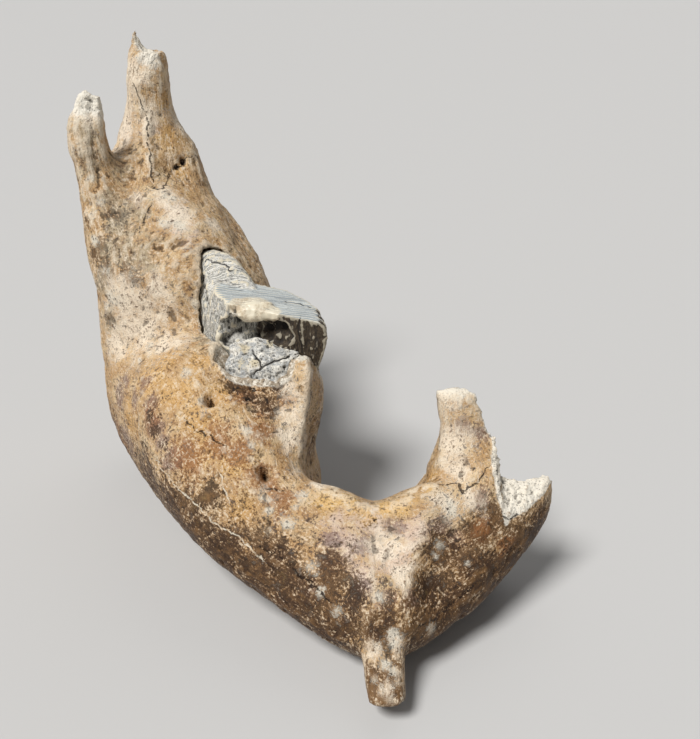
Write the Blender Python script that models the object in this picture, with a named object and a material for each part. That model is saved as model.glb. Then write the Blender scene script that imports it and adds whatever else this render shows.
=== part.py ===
# Lower jaw of a mammoth, a fossil: the bone, whose left side is broken off short,
# the one molar that is left in it, and the stump of a root in the socket before the molar.
# Frame: metres, +Z up. X = 0 is the jaw's own middle plane, its right side lies at -X,
# the chin points along -Y, and the origin is on the flat that the chin rests on.

import math

import bpy
import bmesh
import numpy as np
from mathutils import Matrix, Vector, noise

MM = 0.001
BACK, UP = 1, 2          # the axes along which cutting blocks are carried
FIT_GAP = 2.4            # mm left between a tooth and the wall of its socket
ORIGIN = (0, 18, 0)      # mm, where the chin rests; the rows below count from elsewhere

# Sections of the bone. One row is one section, in mm and degrees:
# x, y, z, heading of its outer side, lean, roll, outer, inner, upper, lower half size,
# squareness, squareness of its inner upper quarter.
CHIN = [
    (0, 20, 48, -90, 0, -35, 48, 60, 27, 52, 2.4, 2.4),
    (-33, 40, 54, -112, 0, -41, 48, 54, 29, 47, 2.4, 2.6),
    (-60, 68, 64, -134, 0, -46, 51, 36, 36, 50, 2.4, 3.0),
    (-80, 100, 76, -156, 0, -34, 64, 42, 54, 62, 2.4, 4.0),
]
BODY = [
    (-98, 138, 82, -172, 0, -10, 74, 70, 76, 82, 2.4, 6.0),
    (-116, 182, 84, -180, 0, -4, 84, 84, 78, 88.5, 2.4, 6.0),
    (-134, 228, 88, -186, 0, 0, 92, 80, 78, 90, 2.4, 3.5),
    (-146, 268, 96, -190, 0, 0, 86, 74, 104, 86, 2.6, 2.6),
    (-151, 300, 110, -190, 0, 0, 70, 66, 100, 70, 2.4, 2.4),
    (-154, 324, 126, -190, 0, 0, 40, 38, 60, 42, 2.2, 2.2),
]
LEFT = [
    (98, 136, 84, -8, 0, -20, 54, 44, 64, 74, 2.4, 2.4),
    (80, 100, 76, -24, 0, -34, 57, 34, 54, 64, 2.4, 4.0),
    (60, 68, 64, -46, 0, -46, 54, 36, 36, 50, 2.4, 3.0),
    (33, 40, 54, -68, 0, -41, 50, 52, 29, 47, 2.4, 2.6),
]
# Level sections of what rises from the body. x, y, z, turn, outer, inner, front, rear half
# size, squareness.
RISING = [
    (-142, 246, 40, 0, 40, 40, 40, 30, 2.2),
    (-147, 254, 80, 0, 74, 66, 56, 56, 2.4),
    (-150, 264, 125, 0, 81, 75, 62, 72, 2.4),
    (-152, 276, 165, -2, 81, 76, 66, 74, 2.4),
    (-157, 286, 200, -8, 76, 66, 68, 68, 2.6),
    (-170, 300, 228, -16, 67, 57, 54, 56, 2.6),
    (-184, 312, 252, -24, 60, 42, 38, 40, 2.4),
    (-194, 320, 268, -30, 40, 26, 18, 20, 2.2),
    (-199, 323, 280, -32, 18, 12, 8, 10, 2.0),
]
CORONOID = [
    (-196, 262, 160, 0, 24, 34, 24, 30, 2.4),
    (-200, 268, 195, 0, 24, 34, 26, 32, 2.4),
    (-208, 277, 228, 0, 20, 30, 22, 28, 2.4),
    (-219, 285, 258, 0, 18, 22, 17, 24, 2.4),
    (-225, 292, 288, 0, 15, 17, 14, 20, 2.4),
    (-224, 297, 313, 0, 14.5, 14, 11, 16, 2.4),
]
CORONOID_TOP = [(-221, 288, 268, 0, 12, 14, 10, 16, 2.4)] + CORONOID[4:]
CORONOID_TIPS = [
    [(-227, 298, 300, 0, 11, 10, 9, 12, 2.2), (-226, 299, 320, 0, 8, 7, 7, 9, 2.2),
     (-223, 300, 335, 0, 4, 4, 4, 5, 2.0)],
    [(-217, 298, 298, 0, 10, 8, 9, 12, 2.2), (-216, 299, 318, 0, 7, 6, 7, 9, 2.2),
     (-214, 300, 331, 0, 5, 4, 4, 5, 2.0)],
]
CONDYLE = [
    (-160, 312, 200, 0, 44, 46, 32, 40, 2.4),
    (-170, 328, 240, 0, 42, 42, 30, 42, 2.4),
    (-177, 342, 275, 0, 38, 37, 24, 36, 2.4),
    (-181, 350, 303, 0, 26, 23, 19, 28, 2.4),
    (-180, 354, 331, 0, 17, 18, 17, 23, 2.4),
    (-177, 358, 359, 0, 13.5, 13.5, 13, 17, 2.6),
]
CONDYLE_TOP = [(-180, 349, 296, 0, 17, 17, 12, 20, 2.4)] + CONDYLE[4:]
CONDYLE_SPIKE = [
    (-187, 360, 342, 0, 8, 8, 8, 9, 2.2),
    (-188, 361, 362, 0, 5, 6, 5, 6, 2.0),
    (-187, 362, 378, 0, 2, 2, 2, 2.5, 2.0),
]
STUB_CREST = [
    (64, 90, 84, 0, 26, 20, 24, 26, 2.6),
    (64, 97, 112, 0, 26, 24, 22, 22, 2.6),
    (65, 104, 138, 0, 22, 19, 16, 16, 2.6),
    (61, 106, 155, 0, 15, 14, 10, 12, 2.4),
]
# Sections across the spout, which points down and forward: x, y, z, half width,
# half thickness.
SPOUT = [(0, 24, 50, 21, 19), (0, -8, 34, 16, 15), (0, -28, 24, 13.5, 12.5), (0, -48, 14, 13, 11)]
SPOUT_DIP = 55           # degrees that a section of the spout leans back from level

# Sections of the molar: x, y, z, heading, roll, outer, inner, upper, lower half size,
# squareness. The worn block stands in the open socket, the rear plates go up into the crypt.
MOLAR_WORN = [
    (-77, 170, 148, -195, 18, 42, 40, 48, 42, 7.0),
    (-83, 188, 148, -195, 15, 48, 47, 50, 44, 6.0),
    (-85, 204, 149, -195, 10, 44, 46, 50, 44, 4.5),
    (-84, 217, 150, -195, 8, 28, 28, 48, 40, 3.0),
]
MOLAR_REAR = [
    (-96, 196, 150, -194, 0, 32, 30, 40, 40, 3.0),
    (-107, 212, 151, -194, 0, 28, 34, 49, 44, 2.8),
    (-115, 228, 154, -194, 0, 26, 32, 59, 46, 2.6),
    (-120, 242, 158, -194, 0, 24, 26, 57, 42, 2.6),
    (-124, 258, 160, -196, 0, 18, 18, 46, 34, 2.4),
]
PLATE_PITCH = 9.4        # mm from one plate of the molar to the next
PLATE_RELIEF = 0.9
PLATE_SKEW = 0.27        # mm to the rear per mm outward that the plates run
WEAR_POINT = (-74, 186, 191)
WEAR_NORMAL = (0.118, -0.075, 0.99)
WEAR_FROM = (-150, 130)  # X and Y at which the sheet of the chewing face starts
WEAR_COLUMN = 16
FRONT_BREAK = [(-98, 173, 170, 23, 15, 16), (-74, 166, 172, 17, 8, 13)]
ENAMEL_LOBE = (-86, 180, 186, 20, 10, 8)
STUMP_AT = (-79, 163, 152)
STUMP_SIZE = (29, 25, 13)
STUMP_TILT = 24          # degrees, turned about X
STUMP_LUMPS = 0.16       # of its half sizes
STUMP_BED = (-80, 163, 160, 36, 29, 15)
CRYPT_WIDEN = 3.6
STUMP_GAP = 1.2          # mm between the stump and the molar's front face

# Marks raised on or pressed into the bone's skin: height (below zero is pressed in), reach,
# and the line that they follow, all in mm.
MARKS = [
    (-10, 17, [(-102, 130, 154), (-84, 124, 153), (-64, 128, 153)]),
    (-6, 13, [(-88, 106, 147), (-76, 104, 143)]),
    (5, 9, [(-48, 146, 160), (-49, 128, 140), (-50, 108, 124), (-46, 78, 112), (-34, 62, 103),
            (-16, 50, 95), (2, 46, 92), (20, 50, 94), (36, 62, 102)]),
    (3.5, 9, [(13, -17, 47), (15, -6, 60), (21, 9, 70), (28, 27, 82), (38, 48, 96), (46, 74, 112)]),
    (2.5, 8, [(-12, -21, 41), (-8, -6, 60), (-6, 8, 70)]),
    (-7, 17, [(36, 6, 62), (48, 24, 72)]),
    (-4, 14, [(0, 18, 78), (2, 34, 88)]),
    (-6, 26, [(-228, 262, 120), (-226, 262, 170)]),
    (6, 13, [(-222, 262, 235), (-204, 250, 212), (-186, 236, 190)]),
    (-7, 15, [(-205, 300, 262), (-184, 276, 240), (-166, 262, 226)]),
    (5, 12, [(-186, 356, 350), (-184, 342, 314), (-180, 322, 282), (-178, 304, 256)]),
    (-5, 15, [(-150, 316, 268), (-134, 290, 244)]),
    (-5, 20, [(-90, 300, 150), (-100, 320, 190)]),
    (-14, 28, [(-30, 112, 72), (-30, 140, 72), (-32, 165, 76)]),
    (-12, 25, [(40, 96, 116), (42, 112, 120)]),
    (-4, 7, [(-118, 116, 142)]),
    (-4, 7, [(-78, 67, 108), (-78, 62, 104)]),
]

# The left side is broken off by a rear face that runs from REAR_CREST behind the crest to
# REAR_OUTER, and beside the crest all that is above a ledge is gone.
REAR_CREST = 121
REAR_OUTER = 87
REAR_TURN = (62, 100)    # the stretch of X in which the one goes over in the other
REAR_LEAN = 0.08         # mm forward per mm up
REAR_FROM = (20, -12)    # X and Z at which the sheet of the rear face starts
REAR_STEP = 5
LEDGE_X = 89             # side of the crest at LEDGE_TOP
LEDGE_TOP = 125
CREST_STEEP = 4.0        # mm down per mm outward
LEDGE_Z = 83             # height of the ledge at its front edge, LEDGE_FRONT
LEDGE_FRONT = 50
LEDGE_RISE = 0.40        # mm up per mm to the rear
CREST_WANDER = 3         # mm that the side of the crest wanders in and out
LEDGE_FROM = (70, 20)    # X and Y at which the sheet of the ledge starts
LEDGE_STEPS = (2.5, 4)
BREAK_ROUGHNESS = 2.2
BREAK_GRAIN = 15         # mm, size of the lumps of a broken face
BLOCK_REACH = 260        # mm to which a cutting block is carried, past the bone
BREAK_HOLLOWS = [(98, 108, 44, 12, 26, 9), (78, 116, 92, 15, 18, 26)]

LIMB_VOXEL = 5.0         # mm, size of the cells in which the bone's limbs grow together
LIMB_SMOOTHINGS = 26
VOXEL = 3.0
SMOOTHINGS = 5
UNCUT_FACES = 16000      # triangles of the bone while it is being cut
CUT_VOXEL = 2.2          # mm, finer cells for the skin once it is cut
TOOTH_VOXEL = 1.5
BONE_FACES = 7600
TOOTH_FACES = 1800
STUMP_FACES = 320


def clear_scene():
    for item in list(bpy.data.objects):
        bpy.data.objects.remove(item, do_unlink=True)


def make_material(name, colour, roughness):
    material = bpy.data.materials.new(name)
    material.use_nodes = True
    shader = material.node_tree.nodes["Principled BSDF"]
    shader.inputs["Base Color"].default_value = (*colour, 1.0)
    shader.inputs["Roughness"].default_value = roughness
    return material


def make_object(name, mesh):
    item = bpy.data.objects.new(name, mesh)
    bpy.context.collection.objects.link(item)
    return item


def spline_rows(rows, per_span):
    """Rows read from a smooth curve through the given rows, per_span to a stretch."""
    keys = np.array(rows, float)
    ends = np.vstack([2 * keys[0] - keys[1], keys, 2 * keys[-1] - keys[-2]])
    steps = np.arange(per_span)[:, None] / per_span
    out = []
    for a, b, c, d in zip(ends[:-3], ends[1:-2], ends[2:-1], ends[3:]):
        out.append(0.5 * (2 * b + (c - a) * steps + (2 * a - 5 * b + 4 * c - d) * steps ** 2
                          + (3 * b - 3 * c + d - a) * steps ** 3))
    return np.vstack(out + [keys[-1:]]).tolist()


def ring_points(row, around):
    """Points of one section: four quarters of a superellipse, rolled, then stood up."""
    x, y, z, heading, lean, roll, outer, inner, upper, lower, square, corner = row
    heading, lean, roll = math.radians(heading), math.radians(lean), math.radians(roll)
    across = Vector((math.cos(heading), math.sin(heading), 0))
    level = Vector((math.sin(heading), -math.cos(heading), 0))
    rise = math.sin(lean) * level + math.cos(lean) * Vector((0, 0, 1))
    points = []
    for k in range(around):
        c = math.cos(math.tau * k / around)
        s = math.sin(math.tau * k / around)
        power = 2 / (corner if c < 0 < s else square)
        u = (outer if c > 0 else inner) * math.copysign(abs(c) ** power, c)
        v = (upper if s > 0 else lower) * math.copysign(abs(s) ** power, s)
        u, v = u * math.cos(roll) - v * math.sin(roll), u * math.sin(roll) + v * math.cos(roll)
        points.append((Vector((x, y, z)) + u * across + v * rise) * MM)
    return points


def loft(bm, rows, around, per_span=5):
    """A closed tube through the sections, added to bm."""
    rings = []
    for row in spline_rows(rows, per_span):
        rings.append([bm.verts.new(p) for p in ring_points(row, around)])
    made = []
    for lower, upper in zip(rings, rings[1:]):
        for k in range(around):
            after = (k + 1) % around
            made.append(bm.faces.new((lower[k], lower[after], upper[after], upper[k])))
    for ring in (rings[0], rings[-1]):
        hub = bm.verts.new(sum((v.co for v in ring), Vector()) / around)
        for k in range(around):
            made.append(bm.faces.new((ring[k], ring[(k + 1) % around], hub)))
    bmesh.ops.recalc_face_normals(bm, faces=made)


def level_rows(rows):
    """Turns the short rows of level sections into full ones: their upper side is the front."""
    return [(x, y, z, turn - 180, -90, 0, outer, inner, front, rear, square, square)
            for x, y, z, turn, outer, inner, front, rear, square in rows]


def apply_modifiers(item):
    graph = bpy.context.evaluated_depsgraph_get()
    mesh = bpy.data.meshes.new_from_object(item.evaluated_get(graph))
    item.modifiers.clear()
    item.data = mesh
    return mesh


def cut(item, cutter, operation="DIFFERENCE"):
    """Cuts item by cutter, which is gone afterwards."""
    boolean = item.modifiers.new("cut", "BOOLEAN")
    boolean.operation = operation
    boolean.solver = "EXACT"
    boolean.use_self = True
    boolean.object = cutter
    apply_modifiers(item)
    bpy.data.objects.remove(cutter, do_unlink=True)


def close_skin(item, voxel, smoothings):
    """Grows everything in item together in one closed skin and evens it out."""
    remesh = item.modifiers.new("grow together", "REMESH")
    remesh.mode = "VOXEL"
    remesh.voxel_size = voxel * MM
    smooth = item.modifiers.new("even out", "SMOOTH")
    smooth.factor = 0.5
    smooth.iterations = smoothings
    apply_modifiers(item)


def skin(bm, name, voxel, smoothings):
    mesh = bpy.data.meshes.new(name)
    bm.to_mesh(mesh)
    bm.free()
    item = make_object(name, mesh)
    close_skin(item, voxel, smoothings)
    return item


def thin_out(item, faces):
    """Thins the skin to the given count of triangles."""
    thin = item.modifiers.new("facets", "DECIMATE")
    thin.ratio = faces / sum(len(p.vertices) - 2 for p in item.data.polygons)
    return apply_modifiers(item)


def finish(item, faces, material):
    """Thins the piece out, sets it on the ground and in the frame, and gives its material."""
    mesh = thin_out(item, faces)
    for vert in mesh.vertices:
        vert.co.z = max(vert.co.z, 0)
    mesh.transform(Matrix.Translation(-Vector(ORIGIN) * MM))
    mesh.materials.clear()
    mesh.materials.append(material)


def bone_form():
    """The bone's thick limbs, grown together, and then its thin ends with them."""
    bm = bmesh.new()
    loft(bm, LEFT + CHIN + BODY, 40)
    loft(bm, level_rows(RISING), 40)
    loft(bm, level_rows(CORONOID), 24)
    loft(bm, level_rows(CONDYLE), 24)
    limbs = skin(bm, "limbs", LIMB_VOXEL, LIMB_SMOOTHINGS)
    bm = bmesh.new()
    bm.from_mesh(limbs.data)
    bpy.data.objects.remove(limbs, do_unlink=True)
    loft(bm, level_rows(CORONOID_TOP), 24)
    for tip in CORONOID_TIPS:
        loft(bm, level_rows(tip), 12)
    loft(bm, level_rows(CONDYLE_TOP), 24)
    loft(bm, level_rows(CONDYLE_SPIKE), 12)
    loft(bm, level_rows(STUB_CREST), 24)
    loft(bm, [(x, y, z, 0, SPOUT_DIP, 0, w, w, h, h, 3.4, 3.4) for x, y, z, w, h in SPOUT], 24)
    return skin(bm, "jaw_bone", VOXEL, SMOOTHINGS)


def mark(mesh):
    """Raises or presses the skin along each mark's line, fading with distance from it."""
    count = len(mesh.vertices)
    at = np.empty(count * 3)
    mesh.vertices.foreach_get("co", at)
    at = at.reshape(-1, 3) / MM
    out = np.empty(count * 3)
    mesh.vertex_normals.foreach_get("vector", out)
    out = out.reshape(-1, 3)
    push = np.zeros(count)
    for height, reach, line in MARKS:
        line = np.array(line + line[-1:], float)
        near = np.full(count, np.inf)
        for start, end in zip(line[:-1], line[1:]):
            along = end - start
            share = np.clip((at - start) @ along / max(along @ along, 1e-9), 0, 1)
            gap = at - start - share[:, None] * along
            near = np.minimum(near, (gap * gap).sum(axis=1))
        push += height * np.exp(-near / reach ** 2)
    at += out * push[:, None]
    mesh.vertices.foreach_set("co", (at * MM).ravel())
    mesh.update()


def blob(name, x, y, z, rx, ry, rz, tilt=0, lumps=0.0):
    """An egg shape with its own half sizes, turned by tilt about X, lumpy by a share."""
    bm = bmesh.new()
    bmesh.ops.create_icosphere(bm, subdivisions=3, radius=1)
    for vert in bm.verts:
        vert.co *= 1 + lumps * noise.fractal(vert.co * 1.7, 1.0, 2.0, 3)
    bmesh.ops.scale(bm, vec=Vector((rx, ry, rz)) * MM, verts=bm.verts)
    turn = Matrix.Rotation(math.radians(tilt), 3, "X")
    bmesh.ops.rotate(bm, matrix=turn, verts=bm.verts)
    bmesh.ops.translate(bm, vec=Vector((x, y, z)) * MM, verts=bm.verts)
    mesh = bpy.data.meshes.new(name)
    bm.to_mesh(mesh)
    bm.free()
    return make_object(name, mesh)


def sheet_block(name, columns, rows, face_point, axis):
    """A closed block: a sheet of columns by rows points, carried along an axis to its end."""
    bm = bmesh.new()
    grid = [[bm.verts.new(Vector(face_point(i, j)) * MM) for i in range(columns)]
            for j in range(rows)]
    for j in range(rows - 1):
        for i in range(columns - 1):
            bm.faces.new((grid[j][i], grid[j][i + 1], grid[j + 1][i + 1], grid[j + 1][i]))
    made = bmesh.ops.extrude_face_region(bm, geom=bm.faces[:])["geom"]
    for vert in [g for g in made if isinstance(g, bmesh.types.BMVert)]:
        vert.co[axis] = BLOCK_REACH * MM
    bmesh.ops.recalc_face_normals(bm, faces=bm.faces)
    mesh = bpy.data.meshes.new(name)
    bm.to_mesh(mesh)
    bm.free()
    return make_object(name, mesh)


def step(value, low, high):
    t = min(max((value - low) / (high - low), 0), 1)
    return t * t * (3 - 2 * t)


def rear_face(i, j):
    """A point of the face on which the left side broke off: column i goes out, row j up."""
    x = REAR_FROM[0] + i * REAR_STEP
    z = REAR_FROM[1] + j * REAR_STEP
    rough = noise.fractal(Vector((x, 0, z)) / BREAK_GRAIN, 1.0, 2.0, 3)
    rear = REAR_CREST + (REAR_OUTER - REAR_CREST) * step(x, *REAR_TURN) - REAR_LEAN * z
    return (x, rear + BREAK_ROUGHNESS * rough, z)


def ledge_face(i, j):
    """A point of the crest's broken side and of the ledge beside it: i goes out, j back."""
    x = LEDGE_FROM[0] + i * LEDGE_STEPS[0]
    y = LEDGE_FROM[1] + j * LEDGE_STEPS[1]
    rough = noise.fractal(Vector((x, y, 40)) / BREAK_GRAIN, 1.0, 2.0, 3)
    wander = CREST_WANDER * noise.noise(Vector((x / 9, y / 30, 7)))
    side = LEDGE_TOP - CREST_STEEP * (x - LEDGE_X + wander)
    ledge = LEDGE_Z + LEDGE_RISE * (y - LEDGE_FRONT)
    return (x, y, max(side, ledge) + BREAK_ROUGHNESS * rough)


def wear_face(i, j):
    """A point of the worn chewing face: a tilted plane with one low ridge to each plate."""
    x = WEAR_FROM[0] + i * WEAR_COLUMN
    y = WEAR_FROM[1] + j * PLATE_PITCH / 4
    down = (x - WEAR_POINT[0]) * WEAR_NORMAL[0] + (y - WEAR_POINT[1]) * WEAR_NORMAL[1]
    skew = y - PLATE_SKEW * (WEAR_POINT[0] - x)
    ridge = PLATE_RELIEF * math.cos(math.tau * skew / PLATE_PITCH)
    return (x, y, WEAR_POINT[2] - down / WEAR_NORMAL[2] + ridge)


def tooth_rows(rows, widen):
    return [(x, y, z, h, 0, r, o + widen, i + widen, u + widen, d + widen, s, s)
            for x, y, z, h, r, o, i, u, d, s in rows]


def tooth_piece(name, rows, widen, per_span, relief=0.0):
    """A closed block through the tooth's sections, widened on all sides and at both ends."""
    bm = bmesh.new()
    full = spline_rows(tooth_rows(rows, widen), per_span)
    for end, beside in ((full[0], full[1]), (full[-1], full[-2])):
        ahead = (Vector(end[:3]) - Vector(beside[:3])).normalized()
        end[:3] = Vector(end[:3]) + widen * ahead
    for k, row in enumerate(full):
        for part in (6, 7, 8, 9):
            row[part] += relief * math.cos(math.pi * k)
    loft(bm, full, 32, 1)
    mesh = bpy.data.meshes.new(name)
    bm.to_mesh(mesh)
    bm.free()
    return make_object(name, mesh)


def molar():
    tooth = tooth_piece("molar", MOLAR_WORN, 0, 4)
    cut(tooth, sheet_block("wear", 11, 44, wear_face, UP))
    for x, y, z, rx, ry, rz in FRONT_BREAK:
        cut(tooth, blob("front break", x, y, z, rx, ry, rz))
    cut(tooth, tooth_piece("rear plates", MOLAR_REAR, 0, 3, PLATE_RELIEF), "UNION")
    cut(tooth, blob("lobe", *ENAMEL_LOBE), "UNION")
    close_skin(tooth, TOOTH_VOXEL, 1)
    return tooth


def jaw_bone():
    bone = bone_form()
    mark(bone.data)
    thin_out(bone, UNCUT_FACES)
    cut(bone, sheet_block("rear break", 42, 42, rear_face, BACK))
    cut(bone, sheet_block("ledge", 38, 30, ledge_face, UP))
    for hollow in BREAK_HOLLOWS:
        cut(bone, blob("break hollow", *hollow, 0, 0.2))
    cut(bone, tooth_piece("socket", MOLAR_WORN, FIT_GAP, 4))
    cut(bone, tooth_piece("crypt", MOLAR_REAR, CRYPT_WIDEN, 3))
    cut(bone, blob("stump bed", *STUMP_BED, STUMP_TILT, 0.05))
    seat = [half + FIT_GAP for half in STUMP_SIZE]
    cut(bone, blob("stump seat", *STUMP_AT, *seat, STUMP_TILT, STUMP_LUMPS))
    close_skin(bone, CUT_VOXEL, 1)
    return bone


def root_stump():
    """What is left of a root, lying against the molar's front face."""
    stump = blob("root_stump", *STUMP_AT, *STUMP_SIZE, STUMP_TILT, STUMP_LUMPS)
    cut(stump, tooth_piece("molar front", MOLAR_WORN, STUMP_GAP, 4))
    return stump


def build():
    clear_scene()
    finish(jaw_bone(), BONE_FACES, make_material("bone", (0.42, 0.27, 0.14), 0.6))
    finish(molar(), TOOTH_FACES, make_material("tooth", (0.3, 0.34, 0.38), 0.45))
    finish(root_stump(), STUMP_FACES, make_material("root", (0.55, 0.55, 0.5), 0.7))


build()
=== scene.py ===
import math
import bmesh
import bpy
import numpy as np
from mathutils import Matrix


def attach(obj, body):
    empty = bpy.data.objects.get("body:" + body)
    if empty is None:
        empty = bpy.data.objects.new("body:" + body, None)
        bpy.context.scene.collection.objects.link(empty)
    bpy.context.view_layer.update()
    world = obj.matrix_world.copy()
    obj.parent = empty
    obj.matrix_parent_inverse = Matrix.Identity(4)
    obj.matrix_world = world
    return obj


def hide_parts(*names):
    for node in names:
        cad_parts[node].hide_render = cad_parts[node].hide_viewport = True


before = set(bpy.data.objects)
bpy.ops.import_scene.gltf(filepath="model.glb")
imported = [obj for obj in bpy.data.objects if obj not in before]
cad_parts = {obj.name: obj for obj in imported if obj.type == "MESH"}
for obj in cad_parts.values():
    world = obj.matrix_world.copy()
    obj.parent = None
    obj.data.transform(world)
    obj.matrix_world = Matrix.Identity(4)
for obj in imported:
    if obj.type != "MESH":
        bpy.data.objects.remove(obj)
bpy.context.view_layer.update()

mm = 0.001
# the sections below are counted in mm from a point behind the spot the chin rests on
chinRest = np.array([0.0, 18.0, 0.0])
# how much the part of a distance that runs straight through the skin counts, along cracks
throughSkin = 0.4


def splineRows(rows, perSpan):
    # each stretch between two rows is the cubic that runs through both and leaves each one
    # in the direction of the chord between that row's neighbours
    keys = np.array(rows, float)
    ends = np.vstack([2 * keys[0] - keys[1], keys, 2 * keys[-1] - keys[-2]])
    t = (np.arange(perSpan) / perSpan)[None, :, None]
    a, b, c, d = ends[:-3, None], ends[1:-2, None], ends[2:-1, None], ends[3:, None]
    out = 0.5 * (2 * b + (c - a) * t + (2 * a - 5 * b + 4 * c - d) * t ** 2
                 + (3 * b - 3 * c + d - a) * t ** 3)
    return np.vstack([out.reshape(-1, keys.shape[1]), keys[-1:]])


def carryRings(rows, around):
    # a ring is four quarters of a superellipse: half size times the sine or cosine raised
    # to 2 / squareness, rolled in its own plane, then stood across the path
    x, y, z, heading, lean, roll, outer, inner, upper, lower, square, corner = (
        column[:, None] for column in np.asarray(rows, float).T)
    heading, lean, roll = np.radians(heading), np.radians(lean), np.radians(roll)
    turn = 2 * np.pi * np.arange(around)[None] / around
    c, s = np.cos(turn), np.sin(turn)
    power = 2 / np.where((c < 0) & (s > 0), corner, square)
    u = np.where(c > 0, outer, inner) * np.sign(c) * np.abs(c) ** power
    v = np.where(s > 0, upper, lower) * np.sign(s) * np.abs(s) ** power
    u, v = u * np.cos(roll) - v * np.sin(roll), u * np.sin(roll) + v * np.cos(roll)
    px = x + u * np.cos(heading) + v * np.sin(lean) * np.sin(heading)
    py = y + u * np.sin(heading) - v * np.sin(lean) * np.cos(heading)
    pz = z + v * np.cos(lean)
    return np.stack(np.broadcast_arrays(px, py, pz), -1)


def closedTube(rings):
    # four-sided faces from ring to ring, and a fan to a middle point at each end
    count, around = rings.shape[:2]
    k = np.arange(around)
    following = (k + 1) % around
    start = (np.arange(count - 1) * around)[:, None]
    walls = np.stack([start + k, start + following, start + around + following,
                      start + around + k], -1).reshape(-1, 4)
    points = np.vstack([rings.reshape(-1, 3), rings[0].mean(0), rings[-1].mean(0)])
    hub = count * around
    last = (count - 1) * around
    near = np.stack([following, k, np.full(around, hub)], -1)
    far = np.stack([last + k, last + following, np.full(around, hub + 1)], -1)
    return points, walls.tolist() + near.tolist() + far.tolist()


def levelRows(rows):
    # short rows of level sections made full ones: their upper side becomes the front
    x, y, z, turn, outer, inner, front, rear, square = np.array(rows, float).T
    flat = np.zeros_like(x)
    return np.stack([x, y, z, turn - 180, flat - 90, flat, outer, inner, front, rear,
                     square, square], -1)


def putObject(name, data):
    item = bpy.data.objects.new(name, data)
    bpy.context.collection.objects.link(item)
    return item


def putMesh(name, points, faces):
    mesh = bpy.data.meshes.new(name)
    mesh.from_pydata(np.asarray(points) * mm, [], faces)
    mesh.update()
    return putObject(name, mesh)


def loft(name, rows, around=64, perSpan=8):
    # a closed tube over the curve through the rows
    return putMesh(name, *closedTube(carryRings(splineRows(rows, perSpan), around)))


def joinAll(name, items):
    # the items become one object, with their shells side by side
    both = bmesh.new()
    for item in items:
        both.from_mesh(item.data)
        bpy.data.objects.remove(item, do_unlink=True)
    mesh = bpy.data.meshes.new(name)
    both.to_mesh(mesh)
    both.free()
    return putObject(name, mesh)


def faceOutwards(item):
    # the volume under all triangles is negative where a closed shell is inside out
    mesh = item.data
    mesh.calc_loop_triangles()
    corners = np.empty(len(mesh.loop_triangles) * 3, int)
    mesh.loop_triangles.foreach_get("vertices", corners)
    a, b, c = readPoints(item)[corners.reshape(-1, 3)].transpose(1, 0, 2)
    if (a * np.cross(b, c)).sum() < 0:
        mesh.flip_normals()
        mesh.update()


def applyModifiers(item):
    graph = bpy.context.evaluated_depsgraph_get()
    mesh = bpy.data.meshes.new_from_object(item.evaluated_get(graph))
    item.modifiers.clear()
    item.data = mesh


def growTogether(item, voxel, smoothings):
    # everything in the item becomes one closed skin of even cells, and each round of
    # smoothing then moves every point halfway to the mean of its neighbours
    remesh = item.modifiers.new("growTogether", "REMESH")
    remesh.mode = "VOXEL"
    remesh.voxel_size = voxel * mm
    if smoothings:
        smooth = item.modifiers.new("evenOut", "SMOOTH")
        smooth.factor = 0.5
        smooth.iterations = smoothings
    applyModifiers(item)


def carve(item, cutters, voxel):
    # the cutters become one clean closed skin first, and are then taken away all at once
    cutter = joinAll("cutter", cutters)
    growTogether(cutter, voxel, 0)
    faceOutwards(cutter)
    faceOutwards(item)
    boolean = item.modifiers.new("carve", "BOOLEAN")
    boolean.operation = "DIFFERENCE"
    boolean.solver = "EXACT"
    boolean.object = cutter
    applyModifiers(item)
    bpy.data.objects.remove(cutter, do_unlink=True)


def readPoints(item):
    flat = np.empty(len(item.data.vertices) * 3)
    item.data.vertices.foreach_get("co", flat)
    return flat.reshape(-1, 3) / mm


def readNormals(item):
    flat = np.empty(len(item.data.vertices) * 3)
    item.data.vertex_normals.foreach_get("vector", flat)
    return flat.reshape(-1, 3)


def readEdges(item):
    flat = np.empty(len(item.data.edges) * 2, int)
    item.data.edges.foreach_get("vertices", flat)
    return flat.reshape(-1, 2)


def writePoints(item, points):
    item.data.vertices.foreach_set("co", (points * mm).ravel())
    item.data.update()


def giveField(item, name, values, kind="FLOAT"):
    field = item.data.attributes.new(name, kind, "POINT")
    field.data.foreach_set("value" if kind == "FLOAT" else "vector",
                           np.asarray(values, np.float32).ravel())


def refine(item, spots):
    # edges with both ends within the spots are halved, which cuts the cells there into four
    points = readPoints(item)
    inside = np.zeros(len(points), bool)
    for x, y, z, reach in spots:
        inside |= np.linalg.norm(points - (x, y, z), axis=1) < reach
    halved = np.flatnonzero(inside[readEdges(item)].all(1)).tolist()
    cells = bmesh.new()
    cells.from_mesh(item.data)
    cells.edges.ensure_lookup_table()
    bmesh.ops.subdivide_edges(cells, edges=[cells.edges[k] for k in halved], cuts=1,
                              use_grid_fill=True)
    cells.to_mesh(item.data)
    cells.free()


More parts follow.
